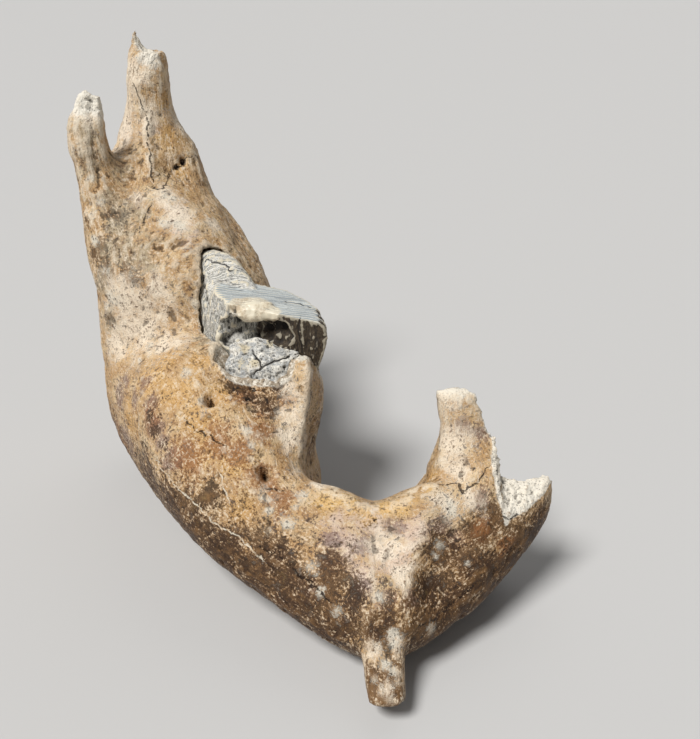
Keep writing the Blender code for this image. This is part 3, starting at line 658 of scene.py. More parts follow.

# where each pigment lies, with its reach in mm: x, y, z, and a reach of its own if given; the dark
# brown spots along the lower edges and under the stump are partly stain and partly painted shade,
# and the near-black spots in the holes are painted shade
stains = dict(
    cream=(10, [
        (-182, 211, 159, 30), (-193, 219, 182, 28), (-166, 217, 190, 16), (-203, 216, 143, 22),
        (-159, 189, 155, 20), (-173, 214, 175, 22), (-201, 334, 296, 22), (-193, 342, 341, 22),
        (-160, 275, 249, 18), (-223, 296, 330, 22), (-213, 297, 326, 16), (-203, 320, 270, 20),
        (-199, 345, 320, 14), (56, 87, 122, 18), (62, 73, 105, 15), (50, 51, 96, 14),
        (66, 52, 95, 13), (-49, 131, 133), (-50, 120, 105), (-37, 69, 99), (-1, -47, 26, 6),
        (-6, -27, 39, 7), (7, -22, 42, 7), (4, 25, 78, 16), (14, 6, 70), (-58, 132, 140, 12),
        (-60, 118, 126, 15), (-60, 103, 116, 14), (-52, 84, 108, 10), (58, 101, 153, 16),
        (-223, 294, 320, 20), (-134, 220, 165), (-122, 271, 228), (-47, 139, 151),
        (-150, 264, 239, 18), (-197, 338, 306, 16), (-183, 276, 249), (-177, 329, 306, 16),
        (-150, 360, 300, 24), (-225, 330, 200, 26), (130, 110, 90, 18), (0, 70, 60, 20)]),
    # dark brown stain, partly painted shade on the lower edges and beside the stump
    bistreAndShade=(22, [
        (-54, 8, 48, 38), (-80, 32, 56, 38), (-36, 8, 60, 20), (30, -8, 42, 30), (54, 8, 46, 32),
        (78, 24, 48, 32), (100, 50, 62, 24), (58, 18, 62, 20), (-60, 20, 52, 34),
        (-100, 48, 58, 36), (-30, -2, 46, 30), (30, 4, 52, 26), (60, 24, 56, 30), (95, 40, 52, 30),
        (0, -14, 44, 20), (-140, 82, 66, 36), (-76, 30, 68, 20), (44, 24, 72, 20),
        (-180, 120, 60, 34), (-34, 14, 66, 20), (-3, -44, 24, 18), (20, 60, 20, 50),
        (90, 70, 20, 40), (-70, 140, 146, 16), (-94, 138, 140, 14), (-110, 180, 10, 60),
        (-200, 230, 50, 40), (-96, 104, 118, 12), (-150, 340, 150, 30), (122, 58, 66, 22),
        (80, 40, 84, 18), (70, 36, 78, 16)]),
    pink=(16, [
        (1, 24, 77), (-5, 40, 89), (-19, 25, 81), (10, 16, 74), (-11, 7, 71), (-26, 34, 87),
        (24, 30, 84), (-60, 120, 60, 22), (-153, 270, 244, 15), (-146, 252, 230, 14),
        (-199, 334, 294, 14)]),
    honey=(9, [
        (6, 48, 95), (-18, 46, 96), (24, 47, 97), (-32, 52, 98), (-8, 44, 93), (15, 46, 95),
        (36, 58, 104), (-17, 52, 98)]),
    ochre=(15, [
        (-152, 166, 153, 14), (-153, 137, 142, 16), (-133, 132, 148, 14), (-126, 148, 156, 12),
        (-143, 128, 142), (-167, 158, 140, 20), (-124, 107, 133, 18), (-188, 161, 103, 20),
        (-107, 125, 143), (-157, 171, 152), (-88, 136, 149), (-120, 90, 118), (-98, 79, 114),
        (-94, 56, 90), (40, 80, 91), (-201, 213, 140), (-127, 154, 158), (14, -12, 57),
        (-225, 240, 90, 30), (-70, 200, 50, 34), (-60, 250, 100, 26), (100, 100, 60, 24),
        (-150, 350, 160, 30), (-168, 342, 320, 13), (-164, 334, 290, 15), (-158, 318, 262, 13),
        (-150, 300, 240, 16), (-130, 280, 215, 18)]),
    rust=(14, [
        (-94, 82, 118), (-112, 93, 124, 17), (-80, 70, 104, 17), (-66, 56, 97),
        (-131, 88, 111, 19), (-164, 128, 121), (-79, 98, 128), (89, 37, 66, 10), (71, 39, 79, 10),
        (-90, 124, 144, 13), (-76, 114, 138, 14), (-62, 124, 138, 10), (-172, 328, 300, 10),
        (-210, 200, 60, 26), (-90, 320, 130, 24), (110, 80, 40, 20), (-180, 372, 220, 20),
        (-110, 180, 12, 40)]),
    # darker brown stain, partly painted shade on the lower edges and under the stump
    umberAndShade=(13, [
        (-124, 62, 68, 20), (-148, 88, 77, 18), (-106, 47, 62, 19), (-88, 33, 51, 19),
        (-60, 11, 47, 18), (-41, -3, 33, 17), (-168, 121, 82, 18), (-113, 53, 58), (-34, -6, 29),
        (-116, 67, 93), (-66, 30, 73), (-53, 14, 62), (-18, -4, 60), (33, 9, 56), (46, 4, 47),
        (69, 21, 57), (94, 36, 54), (-96, 134, 146), (-79, 120, 139), (-65, 133, 143),
        (-214, 243, 215), (-207, 232, 202), (-202, 261, 239), (-188, 223, 201), (116, 56, 64),
        (-9, -37, 30, 8), (5, -47, 25, 8), (7, -34, 34, 7), (-7, -20, 44, 8), (4, -12, 50, 7),
        (-88, 122, 143, 8), (-70, 112, 136, 8), (-158, 118, 118, 7), (-150, 106, 112, 6),
        (-154, 124, 127, 5), (-164, 132, 124, 6), (-222, 262, 235, 7), (-219, 247, 215, 9),
        (-212, 238, 190, 7), (-209, 226, 160, 8), (-54, 6, 48, 16), (54, 7, 46, 15),
        (66, 15, 51, 14), (42, -1, 43, 13), (78, 25, 55, 14), (37, 11, 56, 12), (-25, -11, 45),
        (-73, 29, 67), (-200, 150, 40, 26), (-30, 110, 60, 18), (-140, 330, 140, 22)]),
    violet=(10, [
        (-172, 158, 136, 10), (-181, 159, 122, 9), (-166, 138, 129, 11), (-157, 119, 122, 11),
        (-194, 188, 125, 9), (12, 36, 85), (2, -7, 61), (-153, 108, 114), (-160, 121, 121),
        (-145, 98, 111), (-195, 174, 76, 20), (-65, 15, 41, 14), (-168, 136, 128, 8),
        (-148, 96, 104, 9), (-140, 92, 108, 7), (-33, 29, 82), (64, 89, 133), (77, 87, 130),
        (53, 34, 75), (-9, 26, 80), (43, 37, 86), (73, 53, 94), (-200, 189, 111, 15),
        (-14, -1, 65), (-33, 19, 74), (-47, 8, 58), (18, -6, 60), (-60, 150, 20, 30)]),
    ash=(17, [
        (-204, 299, 269), (-206, 268, 252), (-196, 253, 231), (-187, 268, 243),
        (-198, 239, 218, 22), (-117, 167, 160, 12), (-126, 183, 161, 12), (-222, 284, 306),
        (-219, 278, 283), (-180, 230, 212, 22), (-170, 250, 215, 20), (-140, 252, 205, 18),
        (-205, 310, 250, 20), (-212, 235, 192, 20), (-207, 226, 160, 18), (-198, 221, 181, 12)]),
    chalk=(5, [
        (-113, 168, 156, 8), (-118, 178, 161, 7), (-54, 160, 163, 7), (-50, 146, 160, 7),
        (-136, 143, 152, 7), (-181, 188, 142, 4), (-172, 197, 151, 5), (-89, 96, 130, 6),
        (-86, 87, 123, 4), (-52, 59, 99, 6), (-56, 50, 94, 4), (-61, 42, 89, 7), (-46, 18, 70, 7),
        (-43, 13, 68, 4), (-29, -5, 52, 6), (-3, -6, 63, 5), (38, 24, 70, 4), (42, 29, 74, 6),
        (52, 47, 92, 8), (61, 23, 63, 3), (32, -9, 35, 6), (-123, 118, 142, 5),
        (-118, 115, 134, 5), (-119, 115, 137, 5), (-77, 65, 101, 6), (-77, 58, 97, 6),
        (-75, 52, 92, 5), (-136, 213, 179), (-213, 231, 173), (-205, 226, 181, 10),
        (-222, 274, 269), (-214, 266, 251), (-220, 259, 242), (-157, 276, 249, 12),
        (-149, 255, 233, 9), (-161, 255, 234, 9), (-40, 6, 60), (6, -20, 46), (0, -34, 33),
        (8, -29, 36), (-74, 57, 97, 4), (-75, 42, 82, 4), (-180, 120, 50, 12),
        (-236, 250, 120, 12), (-60, 220, 130, 10), (90, 120, 30, 12), (-223, 299, 330, 12),
        (-215, 298, 326, 11), (-180, 354, 352, 13), (-187, 361, 366, 9), (6, -37, 31),
        (-7, -41, 28, 4), (2, -52, 23, 4), (7, -25, 40, 5), (8, -44, 28, 5), (-218, 249, 224, 6),
        (-210, 232, 203, 5)]),
    # painted shade: near black inside the foramina and slits cut into the bone
    holeShade=(4, [
        (-117, 121, 141, 4.6), (-76, 74, 108, 4.4), (-151, 323, 271, 3.4), (-156, 317, 268, 3.2),
        (-99, 132, 145, 3), (-86, 130, 144, 3), (-76, 122, 139, 3), (-90, 122, 141, 2.6)]),
)


def wander(points, size, height, seed, octaves):
    # every point moved about by three noises, one for each direction
    return points + height * np.stack([lumps(points, size, seed + k, octaves)
                                       for k in range(3)], -1)


def giveCracks(item, kind, distance, signed, near):
    # the distance to the nearest crack with its side as the sign, and 1 close to a crack
    farthest = 9
    giveField(item, kind + "Line", np.clip(signed, -farthest, farthest))
    giveField(item, kind + "Near", 1 - smoothStep(distance, *near))


def weatherBone(skin):
    # every point moves along its normal by a sum of noises, less e to the minus square of the
    # distance over the width for each hollow and crack
    w = weather
    points, normals = readPoints(skin), readNormals(skin)
    x, y, z = points.T
    grain = grainField(points, w["fibres"], w["fibreSpread"])
    # 1 on a broken face of the left side, fading within a few mm of it
    past = smoothStep(x - breaks["ledgeFrom"], *w["ledgeStart"])
    behind = np.exp(-((y - rearFace(x, z)) / w["brokenReach"]) ** 2) * (x > breaks["leftFrom"])
    ledge, steep = ledgeFace(x, y)
    above = np.exp(-((z - ledge) / w["brokenReach"] / steep / w["steepReach"]) ** 2) * past
    above *= 1 - smoothStep(z - breaks["ledgeTop"], 0, w["ledgeOver"])
    level = breaks["ledgeZ"] + breaks["ledgeRise"] * (y - breaks["ledgeFront"])
    above *= smoothStep(z - level, *w["ledgeUnder"])
    broken = np.maximum(behind, above)
    # the spongy bone around the root stump: how many times the stump's own size away
    apart = np.linalg.norm((points - stump["at"]) / stump["size"], axis=1)
    rim = 1 - smoothStep(apart, *w["rimReach"])
    spongy = np.maximum(spotField(points, w["spongy"], 20), rim)
    fibrous = smoothStep(z, *w["fibrousFrom"]) * (1 - spotField(points, w["smoothPlaces"], 20))

    push = sum(height * lumps(points, size, seed) for size, height, seed in w["swellings"])
    long, thin, height, seed = w["fibre"]
    push += height * lumps(grain / (long / thin, 1, 1), thin, seed, 2) * (1 + fibrous)
    size, depth, seed = w["pits"]
    push -= depth * smoothStep(lumps(points, size, seed, 1), *w["pitFrom"])
    size, height, seed = w["brokenLumps"]
    rough = lumps(points, size, seed, 3, 0.7)
    push += height * rough * np.maximum(broken, w["spongyShare"] * spongy)
    wandered = wander(points, *w["wander"], 2)
    for depth, width, line in w["hollows"]:
        # single holes stay where they are, lines wander
        places = points if len(line) == 1 else wandered
        distance, _ = lineField(places, normals, line, throughSkin)
        push -= depth * np.exp(-(distance / width) ** 2)
    dark, darkSide = nearLines(wandered, normals, w["darkCracks"])
    pale, paleSide = nearLines(wandered, normals, w["paleCracks"])
    crack = np.exp(-(np.minimum(dark, pale) / w["crackWidth"]) ** 2)
    push -= w["crackDepth"] * crack
    # in the stump's seat, and where the molar stands close, little stands out of the bone;
    # seated is how many times the turned stump's own size away a point is
    tilt = math.radians(stump["tilt"])
    gone = points - stump["at"]
    gone = np.stack([gone[:, 0], gone[:, 1] * math.cos(tilt) + gone[:, 2] * math.sin(tilt),
                     gone[:, 2] * math.cos(tilt) - gone[:, 1] * math.sin(tilt)], -1)
    seated = np.linalg.norm(gone / stump["size"], axis=1)
    tight = np.maximum(1 - smoothStep(seated, *w["seatReach"]), spotField(points, w["tight"], 9))
    push = np.minimum(push, w["standOut"] + w["loose"] * (1 - tight))
    moved = points + normals * push[:, None]
    writePoints(skin, moved)

    giveField(skin, "grain", grain, "FLOAT_VECTOR")
    giveField(skin, "broken", broken)
    giveField(skin, "fibrous", fibrous)
    giveField(skin, "spongy", spongy)
    giveField(skin, "rim", rim)
    giveCracks(skin, "dark", dark, darkSide, w["crackNear"])
    giveCracks(skin, "pale", pale, paleSide, w["crackNear"])
    giveField(skin, "dent", hollowField(skin, moved, w["dentRounds"]))
    giveField(skin, "hollow", hollowField(skin, moved, w["hollowRounds"]))
    # painted shade: 1 where the skin faces down, for the finish to darken there
    giveField(skin, "paintedShadeBelow", smoothStep(-normals[:, 2], *w["facingDown"]))
    for name, (reach, spots) in stains.items():
        giveField(skin, name, spotField(points, spots, reach))
    print("bone weathered")


def wearHeight(x, y):
    # z of the plane to which the molar is worn down
    t = tooth
    down = ((x - t["wearPoint"][0]) * t["wearNormal"][0]
            + (y - t["wearPoint"][1]) * t["wearNormal"][1])
    return t["wearPoint"][2] - down / t["wearNormal"][2]


def makeMolar():
    # the front block is cut down to the worn plane and broken into, then the rear plates and
    # the lobe grow onto it
    t = tooth
    finely = (0, t["perSpan"], t["plateRelief"], t["around"])
    worn = toothBlock("worn", t["worn"], *finely)
    points = readPoints(worn)
    points[:, 2] = np.minimum(points[:, 2], wearHeight(points[:, 0], points[:, 1]))
    writePoints(worn, points)
    growTogether(worn, t["voxel"], 1)
    carve(worn, [egg("frontBreak", *place, 0, *t["breakBumps"]) for place in t["frontBreaks"]],
          t["voxel"])
    rear = toothBlock("rearPlates", t["rear"], *finely)
    molar = joinAll("wornMolar", [worn, rear, egg("lobe", *t["lobe"], 0, *t["lobeBumps"])])
    growTogether(molar, t["voxel"], 1)
    return molar


def makeStump():
    # a bumpy egg shape with the molar's front taken out of it
    root = egg("rootStump", *stump["at"], *stump["size"], stump["tilt"], stump["bumps"],
               stump["seed"], stump["rings"])
    growTogether(root, stump["voxel"], 0)
    front = toothBlock("molarFront", tooth["worn"], stump["molarGap"], tooth["cutterPerSpan"])
    carve(root, [front], stump["cutVoxel"])
    growTogether(root, stump["voxel"], 1)
    return root


molarWear = dict(
    axis=(-0.47, 0.88, 0.0), acrossWear=(0.10, 0.99, 0.0),
    # how deep below the worn plane, and how nearly level, its face ends
    wornTo=(0.5, 1.4), wornLevel=(0.75, 0.95),
    ridgePitch=3.3, ridgeHeight=0.28, ridgeBend=(16, 1.4, 72),
    # size, height, seed; the flutes are drawn out along z on the sides and along x on top
    crumble=(7, 0.7, 71), flutes=(3.4, 0.55, 73), drawn=0.12,
    lobe=[(-86, 178, 189, 17), (-98, 181, 190, 9), (-72, 173, 187, 9)],
    pits=[(5, 5, [(-95, 186, 176), (-99, 178, 186)]), (6, 6, [(-74, 176, 174)]),
          (5, 5, [(-64, 172, 177)]), (3, 3, [(-128, 226, 196), (-124, 206, 178)])],
    cracks=[[(-134, 226, 206), (-126, 232, 211), (-116, 226, 210), (-104, 218, 207)],
            [(-122, 214, 204), (-112, 210, 202), (-100, 206, 200)],
            [(-50, 164, 186), (-52, 163, 172), (-49, 162, 158)],
            [(-60, 190, 190), (-50, 188, 189), (-38, 184, 187)]],
    crackDepth=0.8, crackWidth=0.9, crackNear=(1.2, 2.6), sway=(1.2, 1.5),
    dentRounds=14, hollowRounds=140, topFrom=(0.25, 0.7), frontFrom=(-92, -78),
)


def weatherMolar(molar):
    # ridges on the worn face are a sine of the way across it; elsewhere drawn-out noises make
    # flutes, and pits and cracks are taken off as on the bone
    w = molarWear
    points, normals = readPoints(molar), readNormals(molar)
    flat = np.array(tooth["wearNormal"]) / np.linalg.norm(tooth["wearNormal"])
    depth = np.abs((points - tooth["wearPoint"]) @ flat)
    wear = (1 - smoothStep(depth, *w["wornTo"])) * smoothStep(normals @ flat, *w["wornLevel"])
    size, height, seed = w["crumble"]
    rough = lumps(points, size, seed, 3)
    size, bend, seed = w["ridgeBend"]
    run = points @ np.array(w["acrossWear"]) + bend * lumps(points, size, seed, 2)
    push = w["ridgeHeight"] * np.sin(2 * np.pi * run / w["ridgePitch"]) * wear
    size, high, seed = w["flutes"]
    level = normals[:, 2] ** 2
    upright = lumps(points * (1, 1, w["drawn"]), size, seed, 2)
    push += high * upright * (1 - wear) * (1 - 0.7 * level)
    push += high * lumps(points * (w["drawn"], 1, 1), size, seed + 1, 2) * (1 - wear) * level
    lobe = spotField(points, w["lobe"], 12)
    push += height * rough * (1 - wear) * (1 - 0.8 * lobe)
    outward, sideways = w["sway"]
    wandered = points + outward * rough[:, None] * normals
    for down, width, line in w["pits"]:
        distance, _ = lineField(wandered, normals, line)
        push -= down * np.exp(-(distance / width) ** 2)
    crack, crackSide = nearLines(points + sideways * rough[:, None], normals, w["cracks"])
    push -= w["crackDepth"] * np.exp(-(crack / w["crackWidth"]) ** 2)
    moved = points + normals * push[:, None]
    writePoints(molar, moved)
    giveField(molar, "wear", wear)
    giveField(molar, "run", run)
    giveField(molar, "plates", points @ np.array(w["axis"]))
    giveField(molar, "lobe", lobe)
    giveField(molar, "top", smoothStep(normals[:, 2], *w["topFrom"]))
    giveCracks(molar, "dark", crack, crackSide, w["crackNear"])
    giveField(molar, "dent", hollowField(molar, moved, w["dentRounds"]))
    giveField(molar, "hollow", hollowField(molar, moved, w["hollowRounds"]))
    forward = smoothStep(-normals[:, 1], -0.4, 0.4)
    giveField(molar, "front", smoothStep(points[:, 0], *w["frontFrom"]) * forward)
    print("molar weathered")


stumpWear = dict(
    # size, height or depth, seed
    swellings=[(10, 1.5, 80), (4.5, 0.9, 81)], pits=(3.4, 1.3, 84), pitFrom=(0.25, 0.7),
    wander=(5, 1.2, 85),
    cracks=[[(-87, 142, 149), (-83, 143, 153), (-80, 144, 155), (-75, 146, 157), (-71, 149, 158),
             (-65, 151, 159), (-59, 156, 159)],
            [(-80, 144, 155), (-82, 150, 159), (-86, 155, 161)]],
    crackDepth=1.4, crackWidth=0.9, crackNear=(1.4, 3.0), sunk=0.6, standOut=0.5,
    dentRounds=10, hollowRounds=60,
    yellow=[(-93, 162, 163, 7), (-74, 166, 165, 6), (-96, 150, 157, 7), (-85, 148, 158, 5)],
)


def weatherStump(root):
    # noises of two sizes, less pits and cracks
    w = stumpWear
    points, normals = readPoints(root), readNormals(root)
    push = sum(height * lumps(points, size, seed, 2) for size, height, seed in w["swellings"])
    size, depth, seed = w["pits"]
    push -= depth * smoothStep(lumps(points, size, seed, 1), *w["pitFrom"])
    crack, crackSide = nearLines(wander(points, *w["wander"], 1), normals, w["cracks"])
    push -= w["crackDepth"] * np.exp(-(crack / w["crackWidth"]) ** 2)
    # nothing stands further out than the space left for it in the bone
    moved = points + normals * np.minimum(push - w["sunk"], w["standOut"])[:, None]
    writePoints(root, moved)
    giveField(root, "yellow", spotField(points, w["yellow"], 6))
    giveCracks(root, "dark", crack, crackSide, w["crackNear"])
    giveField(root, "dent", hollowField(root, moved, w["dentRounds"]))
    giveField(root, "hollow", hollowField(root, moved, w["hollowRounds"]))
    print("stump weathered")


class Wire:
    # what leaves a node's socket, which can be added to, taken away from and multiplied
    def __init__(self, finish, socket):
        self.finish, self.socket = finish, socket

    def __add__(self, other):
        return self.finish.maths("ADD", self, other)

    def __sub__(self, other):
        return self.finish.maths("SUBTRACT", self, other)

    def __rsub__(self, other):
        return self.finish.maths("SUBTRACT", other, self)

    def __mul__(self, other):
        return self.finish.maths("MULTIPLY", self, other)

    __radd__ = __add__
    __rmul__ = __mul__


class Finish:
    # one material and the nodes behind its shader; patterns are counted in mm
    def __init__(self, name):
        self.material = bpy.data.materials.new(name)
        self.material.use_nodes = True
        self.nodes = self.material.node_tree.nodes
        self.links = self.material.node_tree.links
        self.shader = self.nodes["Principled BSDF"]

    def put(self, socket, value):
        if isinstance(value, Wire):
            self.links.new(value.socket, socket)
        else:
            socket.default_value = value

    def add(self, kind, settings, sockets, out=0):
        node = self.nodes.new("ShaderNode" + kind)
        for name, value in settings.items():
            setattr(node, name, value)
        for key, value in sockets.items():
            self.put(node.inputs[key], value)
        return Wire(self, node.outputs[out])

    def maths(self, operation, first, second=0.0):
        return self.add("Math", {"operation": operation}, {0: first, 1: second})

    def field(self, name, out="Fac"):
        return self.add("Attribute", {"attribute_name": name}, {}, out)

    def place(self):
        here = self.add("TexCoord", {}, {}, "Object")
        return self.stretch(here, (1 / mm, 1 / mm, 1 / mm))

    def stretch(self, vector, by):
        return self.add("VectorMath", {"operation": "MULTIPLY"}, {0: vector, 1: by})

    def bend(self, vector, size, height):
        # the place moved about by up to the height
        sway = self.noise(vector, size, 2, 0.5, "Color")
        return self.add("VectorMath", {"operation": "MULTIPLY_ADD"},
                        {0: sway, 1: (height, height, height), 2: vector})

    def noise(self, vector, size, detail, rough, out="Fac"):
        return self.add("TexNoise", {}, {"Vector": vector, "Scale": 1 / size, "Detail": detail,
                                         "Roughness": rough}, out)

    def part(self, colour, channel):
        return self.add("SeparateColor", {}, {0: colour}, channel)

    def cells(self, vector, size):
        return self.add("TexVoronoi", {}, {"Vector": vector, "Scale": 1 / size}, "Distance")

    def step(self, value, low, high):
        return self.add("MapRange", {"interpolation_type": "SMOOTHSTEP"},
                        {"Value": value, "From Min": low, "From Max": high})

    def mix(self, factor, first, second):
        return self.add("Mix", {"data_type": "RGBA"}, {0: factor, 6: first, 7: second}, 2)

    def line(self, side, near, width):
        # 1 within the width of where the signed distance passes through nought
        away = self.maths("ABSOLUTE", self.field(side))
        return (1 - self.step(away, width * 0.5, width)) * self.field(near)

    def close(self, colour, roughness, height):
        # the height is in mm
        bump = self.add("Bump", {}, {"Strength": 1.0, "Distance": mm, "Height": height})
        self.put(self.shader.inputs["Base Color"], colour)
        self.put(self.shader.inputs["Roughness"], roughness)
        self.put(self.shader.inputs["Normal"], bump)
        return self.material


def tone(red, green, blue):
    # screen values from 0 to 255 made linear ones
    linear = [((v / 255 + 0.055) / 1.055) ** 2.4 for v in (red, green, blue)]
    return (*linear, 1.0)


boneLook = dict(
    tan=tone(184, 146, 100), buff=tone(218, 190, 148), brown=tone(108, 74, 44),
    # in the order in which they lie over each other: pigment, colour, how well it covers, and
    # between which values it sets in
    pigments=[("ochre", tone(204, 158, 92), 0.68, 0.30, 0.90),
              ("pink", tone(214, 191, 174), 0.80, 0.30, 0.95),
              ("violet", tone(122, 102, 102), 0.66, 0.30, 0.85),
              # partly stain, partly painted shade
              ("bistreAndShade", tone(80, 53, 29), 0.92, 0.20, 0.85),
              ("rust", tone(144, 94, 54), 0.75, 0.30, 0.90),
              # partly stain, partly painted shade
              ("umberAndShade", tone(66, 46, 31), 0.85, 0.30, 0.85),
              ("ash", tone(156, 144, 122), 0.66, 0.30, 0.95),
              ("cream", tone(238, 222, 199), 0.84, 0.30, 0.90),
              ("honey", tone(218, 176, 110), 0.80, 0.30, 0.90),
              ("chalk", tone(220, 211, 193), 0.88, 0.42, 1.05),
              # painted shade inside the holes
              ("holeShade", tone(30, 23, 18), 0.95, 0.50, 0.75)],
    # painted shade: the first colour on the next line darkens the places that face down; the
    # second is the dark of grains, grit, pores and cracks, and also the painted shade in hollows
    paintedShadeBrown=tone(72, 48, 29), dirtAndShade=tone(44, 32, 23), worn=tone(236, 224, 202),
    fresh=tone(238, 232, 218), sand=tone(150, 112, 70), dust=tone(150, 130, 104),
    # the patterns' sizes in mm; those drawn out along the bone have a length and a thickness
    blotch=13, mottle=4.6, speckle=2.0, grit=0.9, fibre=(14, 1.3), strand=(46, 4.2), pore=2.2,
    shine=0.2,
    # between which values each of these sets in
    buffIn=(0.42, 0.62), brownIn=(0.54, 0.74), shadeIn=(0.30, 0.90),
    darkGrains=(0.06, 0.36), lightGrains=(0.08, 0.36), gritIn=(0.58, 0.74),
    darkStrands=(0.07, 0.16), lightStrands=(0.06, 0.15),
    bareIn=(0.35, 0.75), dustIn=(0.35, 0.80), poreIn=(0.10, 0.34), holesIn=(0.50, 0.85),
    sparseIn=(0.50, 0.62),
    paintedHollowShadeIn=(0.20, 1.05), paleOnRaisedIn=(0.28, 0.9), crackIn=(0.88, 1.05), seamIn=(0.85, 1.05),
    crackWidth=0.85, seamWidth=0.9,
)


def boneFinish():
    b = boneLook
    f = Finish("fossilBone")
    place = f.place()
    grain = f.field("grain", "Vector")
    bent = f.bend(place, 22, 18)
    blotches = f.noise(bent, b["blotch"], 6, 0.68, "Color")
    blotch = [f.part(blotches, channel) for channel in ("Red", "Green", "Blue")]
    mottle = f.noise(bent, b["mottle"], 4, 0.7)
    speckle = f.noise(place, b["speckle"], 3, 0.75)
    grit = f.noise(place, b["grit"], 2, 0.6)
    # two noises drawn out along the bone: fine fibres and wider strands
    fibre, strand = [f.noise(f.stretch(grain, (1 / long, 1 / thin, 1 / thin)), 1, 3, 0.65)
                     for long, thin in (b["fibre"], b["strand"])]
    pore = 1 - f.step(f.cells(place, b["pore"]), *b["poreIn"])
    fine = ((mottle - 0.5) * 1.3 + (speckle - 0.5) * 2.0 + (fibre - 0.5) * 0.8
            + (strand - 0.5) * 0.5)

    colour = f.mix(f.step(blotch[0] + fine * 0.40, *b["buffIn"]), b["tan"], b["buff"])
    colour = f.mix(f.step(blotch[1] + fine * 0.55, *b["brownIn"]) * 0.7, colour, b["brown"])
    laid = {}
    for k, (name, pigment, cover, low, high) in enumerate(b["pigments"]):
        laid[name] = f.step(f.field(name) + (blotch[k % 3] - 0.5) * 2.2 + fine, low, high)
        colour = f.mix(laid[name] * cover, colour, pigment)
    # where the dark brown stains and the painted shade lie, the light speckles are duller and the
    # dark ones darker
    murk = f.maths("MAXIMUM", laid["bistreAndShade"], laid["umberAndShade"])
    clear = 1 - murk * 0.10
    light = f.mix(murk, b["worn"], b["sand"])
    dark = f.mix(murk, b["brown"], b["dirtAndShade"])
    # painted shade: the places that face down are darkened towards the deep brown
    shaded = f.step(f.field("paintedShadeBelow") + (blotch[2] - 0.5) * 1.6 + fine * 0.7, *b["shadeIn"])
    colour = f.mix(shaded * 0.80, colour, b["paintedShadeBrown"])

    # speckle and fibres over everything: darker and lighter grains
    colour = f.mix(f.step(fine, *b["darkGrains"]) * 0.68, colour, dark)
    colour = f.mix(f.step(0 - fine, *b["lightGrains"]) * clear * 0.52, colour, light)
    fibrous = f.field("fibrous") * 0.30 + 0.08
    drawn = (strand - 0.5) + (fibre - 0.5) * 0.7
    colour = f.mix(f.step(drawn, *b["darkStrands"]) * fibrous * 0.8, colour, dark)
    colour = f.mix(f.step(0 - drawn, *b["lightStrands"]) * fibrous * 0.8, colour, light)
    colour = f.mix(f.step(grit + fine * 0.2, *b["gritIn"]) * 0.45, colour, b["dirtAndShade"])

    # the fresh bone of the breaks and the tips, and the dusty rim around the stump
    opened = f.field("broken") * 1.2 + f.field("spongy") * 0.95
    bare = f.step(opened + (mottle - 0.5) * 1.1, *b["bareIn"])
    dusty = f.step(f.field("rim") * 0.7 + (mottle - 0.5) * 2 + fine * 0.5, *b["dustIn"])
    colour = f.mix(bare * 0.85, colour, f.mix(dusty * 0.8, b["fresh"], b["dust"]))
    holes = f.step(pore + (speckle - 0.5) * 0.8, *b["holesIn"])
    sparse = f.step(blotch[1], *b["sparseIn"]) * 0.30
    holed = f.maths("MAXIMUM", bare * 0.65, sparse) * holes
    colour = f.mix(holed * 0.75, colour, b["dirtAndShade"])

    dent, hollow = f.field("dent"), f.field("hollow")
    # painted shade: darker where the skin lies in a dent or a hollow
    paintedHollowShade = f.step(dent * 1.6 + hollow * 0.16 + fine * 0.35, *b["paintedHollowShadeIn"])
    colour = f.mix(paintedHollowShade * 0.62, colour, b["dirtAndShade"])
    # paler where the skin stands out of its surroundings
    paleOnRaised = f.step(0 - dent * 1.6 - hollow * 0.10 + fine * 0.3, *b["paleOnRaisedIn"])
    colour = f.mix(paleOnRaised * clear * 0.45, colour, light)
    # cracks come and go with the speckle
    both = mottle + speckle
    crack = f.line("darkLine", "darkNear", b["crackWidth"]) * f.step(both, *b["crackIn"])
    seam = f.line("paleLine", "paleNear", b["seamWidth"]) * f.step(both, *b["seamIn"])
    colour = f.mix(crack * 0.85, colour, b["dirtAndShade"])
    colour = f.mix(seam * 0.7, colour, b["worn"])

    rough = 0.52 + (0.5 - mottle) * 0.5 + bare * 0.3 + paintedHollowShade * 0.2
    f.put(f.shader.inputs["Specular IOR Level"], b["shine"])
    height = (fine * 0.55 + (grit - 0.5) * 0.25 + (strand - 0.5) * 1.2
              - holed * 0.9 - crack * 0.9 - seam * 0.3)
    return f.close(colour, rough, height)


molarLook = dict(
    slate=tone(134, 141, 145), pale=tone(210, 214, 210), ivory=tone(228, 217, 192),
    amber=tone(160, 128, 88), grey=tone(132, 130, 122), white=tone(238, 234, 224),
    sootAndShade=tone(34, 30, 27), brown=tone(44, 35, 27), tan=tone(82, 68, 50),
    # the patterns' sizes in mm: the lines of the worn face and the upright ones of the sides
    lineSize=(30, 0.62), uprightSize=(1.3, 16), blotch=11, speckle=1.8, grit=0.8,
    # between which values each of these sets in
    whiteIn=(0.42, 0.60), sootIn=(0.55, 0.64), tanIn=(0.40, 0.58), brownSootIn=(0.54, 0.64),
    frontIn=(0.35, 0.65), paleIn=(0.42, 0.58), lineSootIn=(0.60, 0.70), rimIn=(0.14, 0.34),
    lobeIn=(0.35, 0.6), amberIn=(0.46, 0.66), grainIn=(0.16, 0.4), paintedHollowShadeIn=(0.22, 0.85),
    crackWidth=0.7,
)


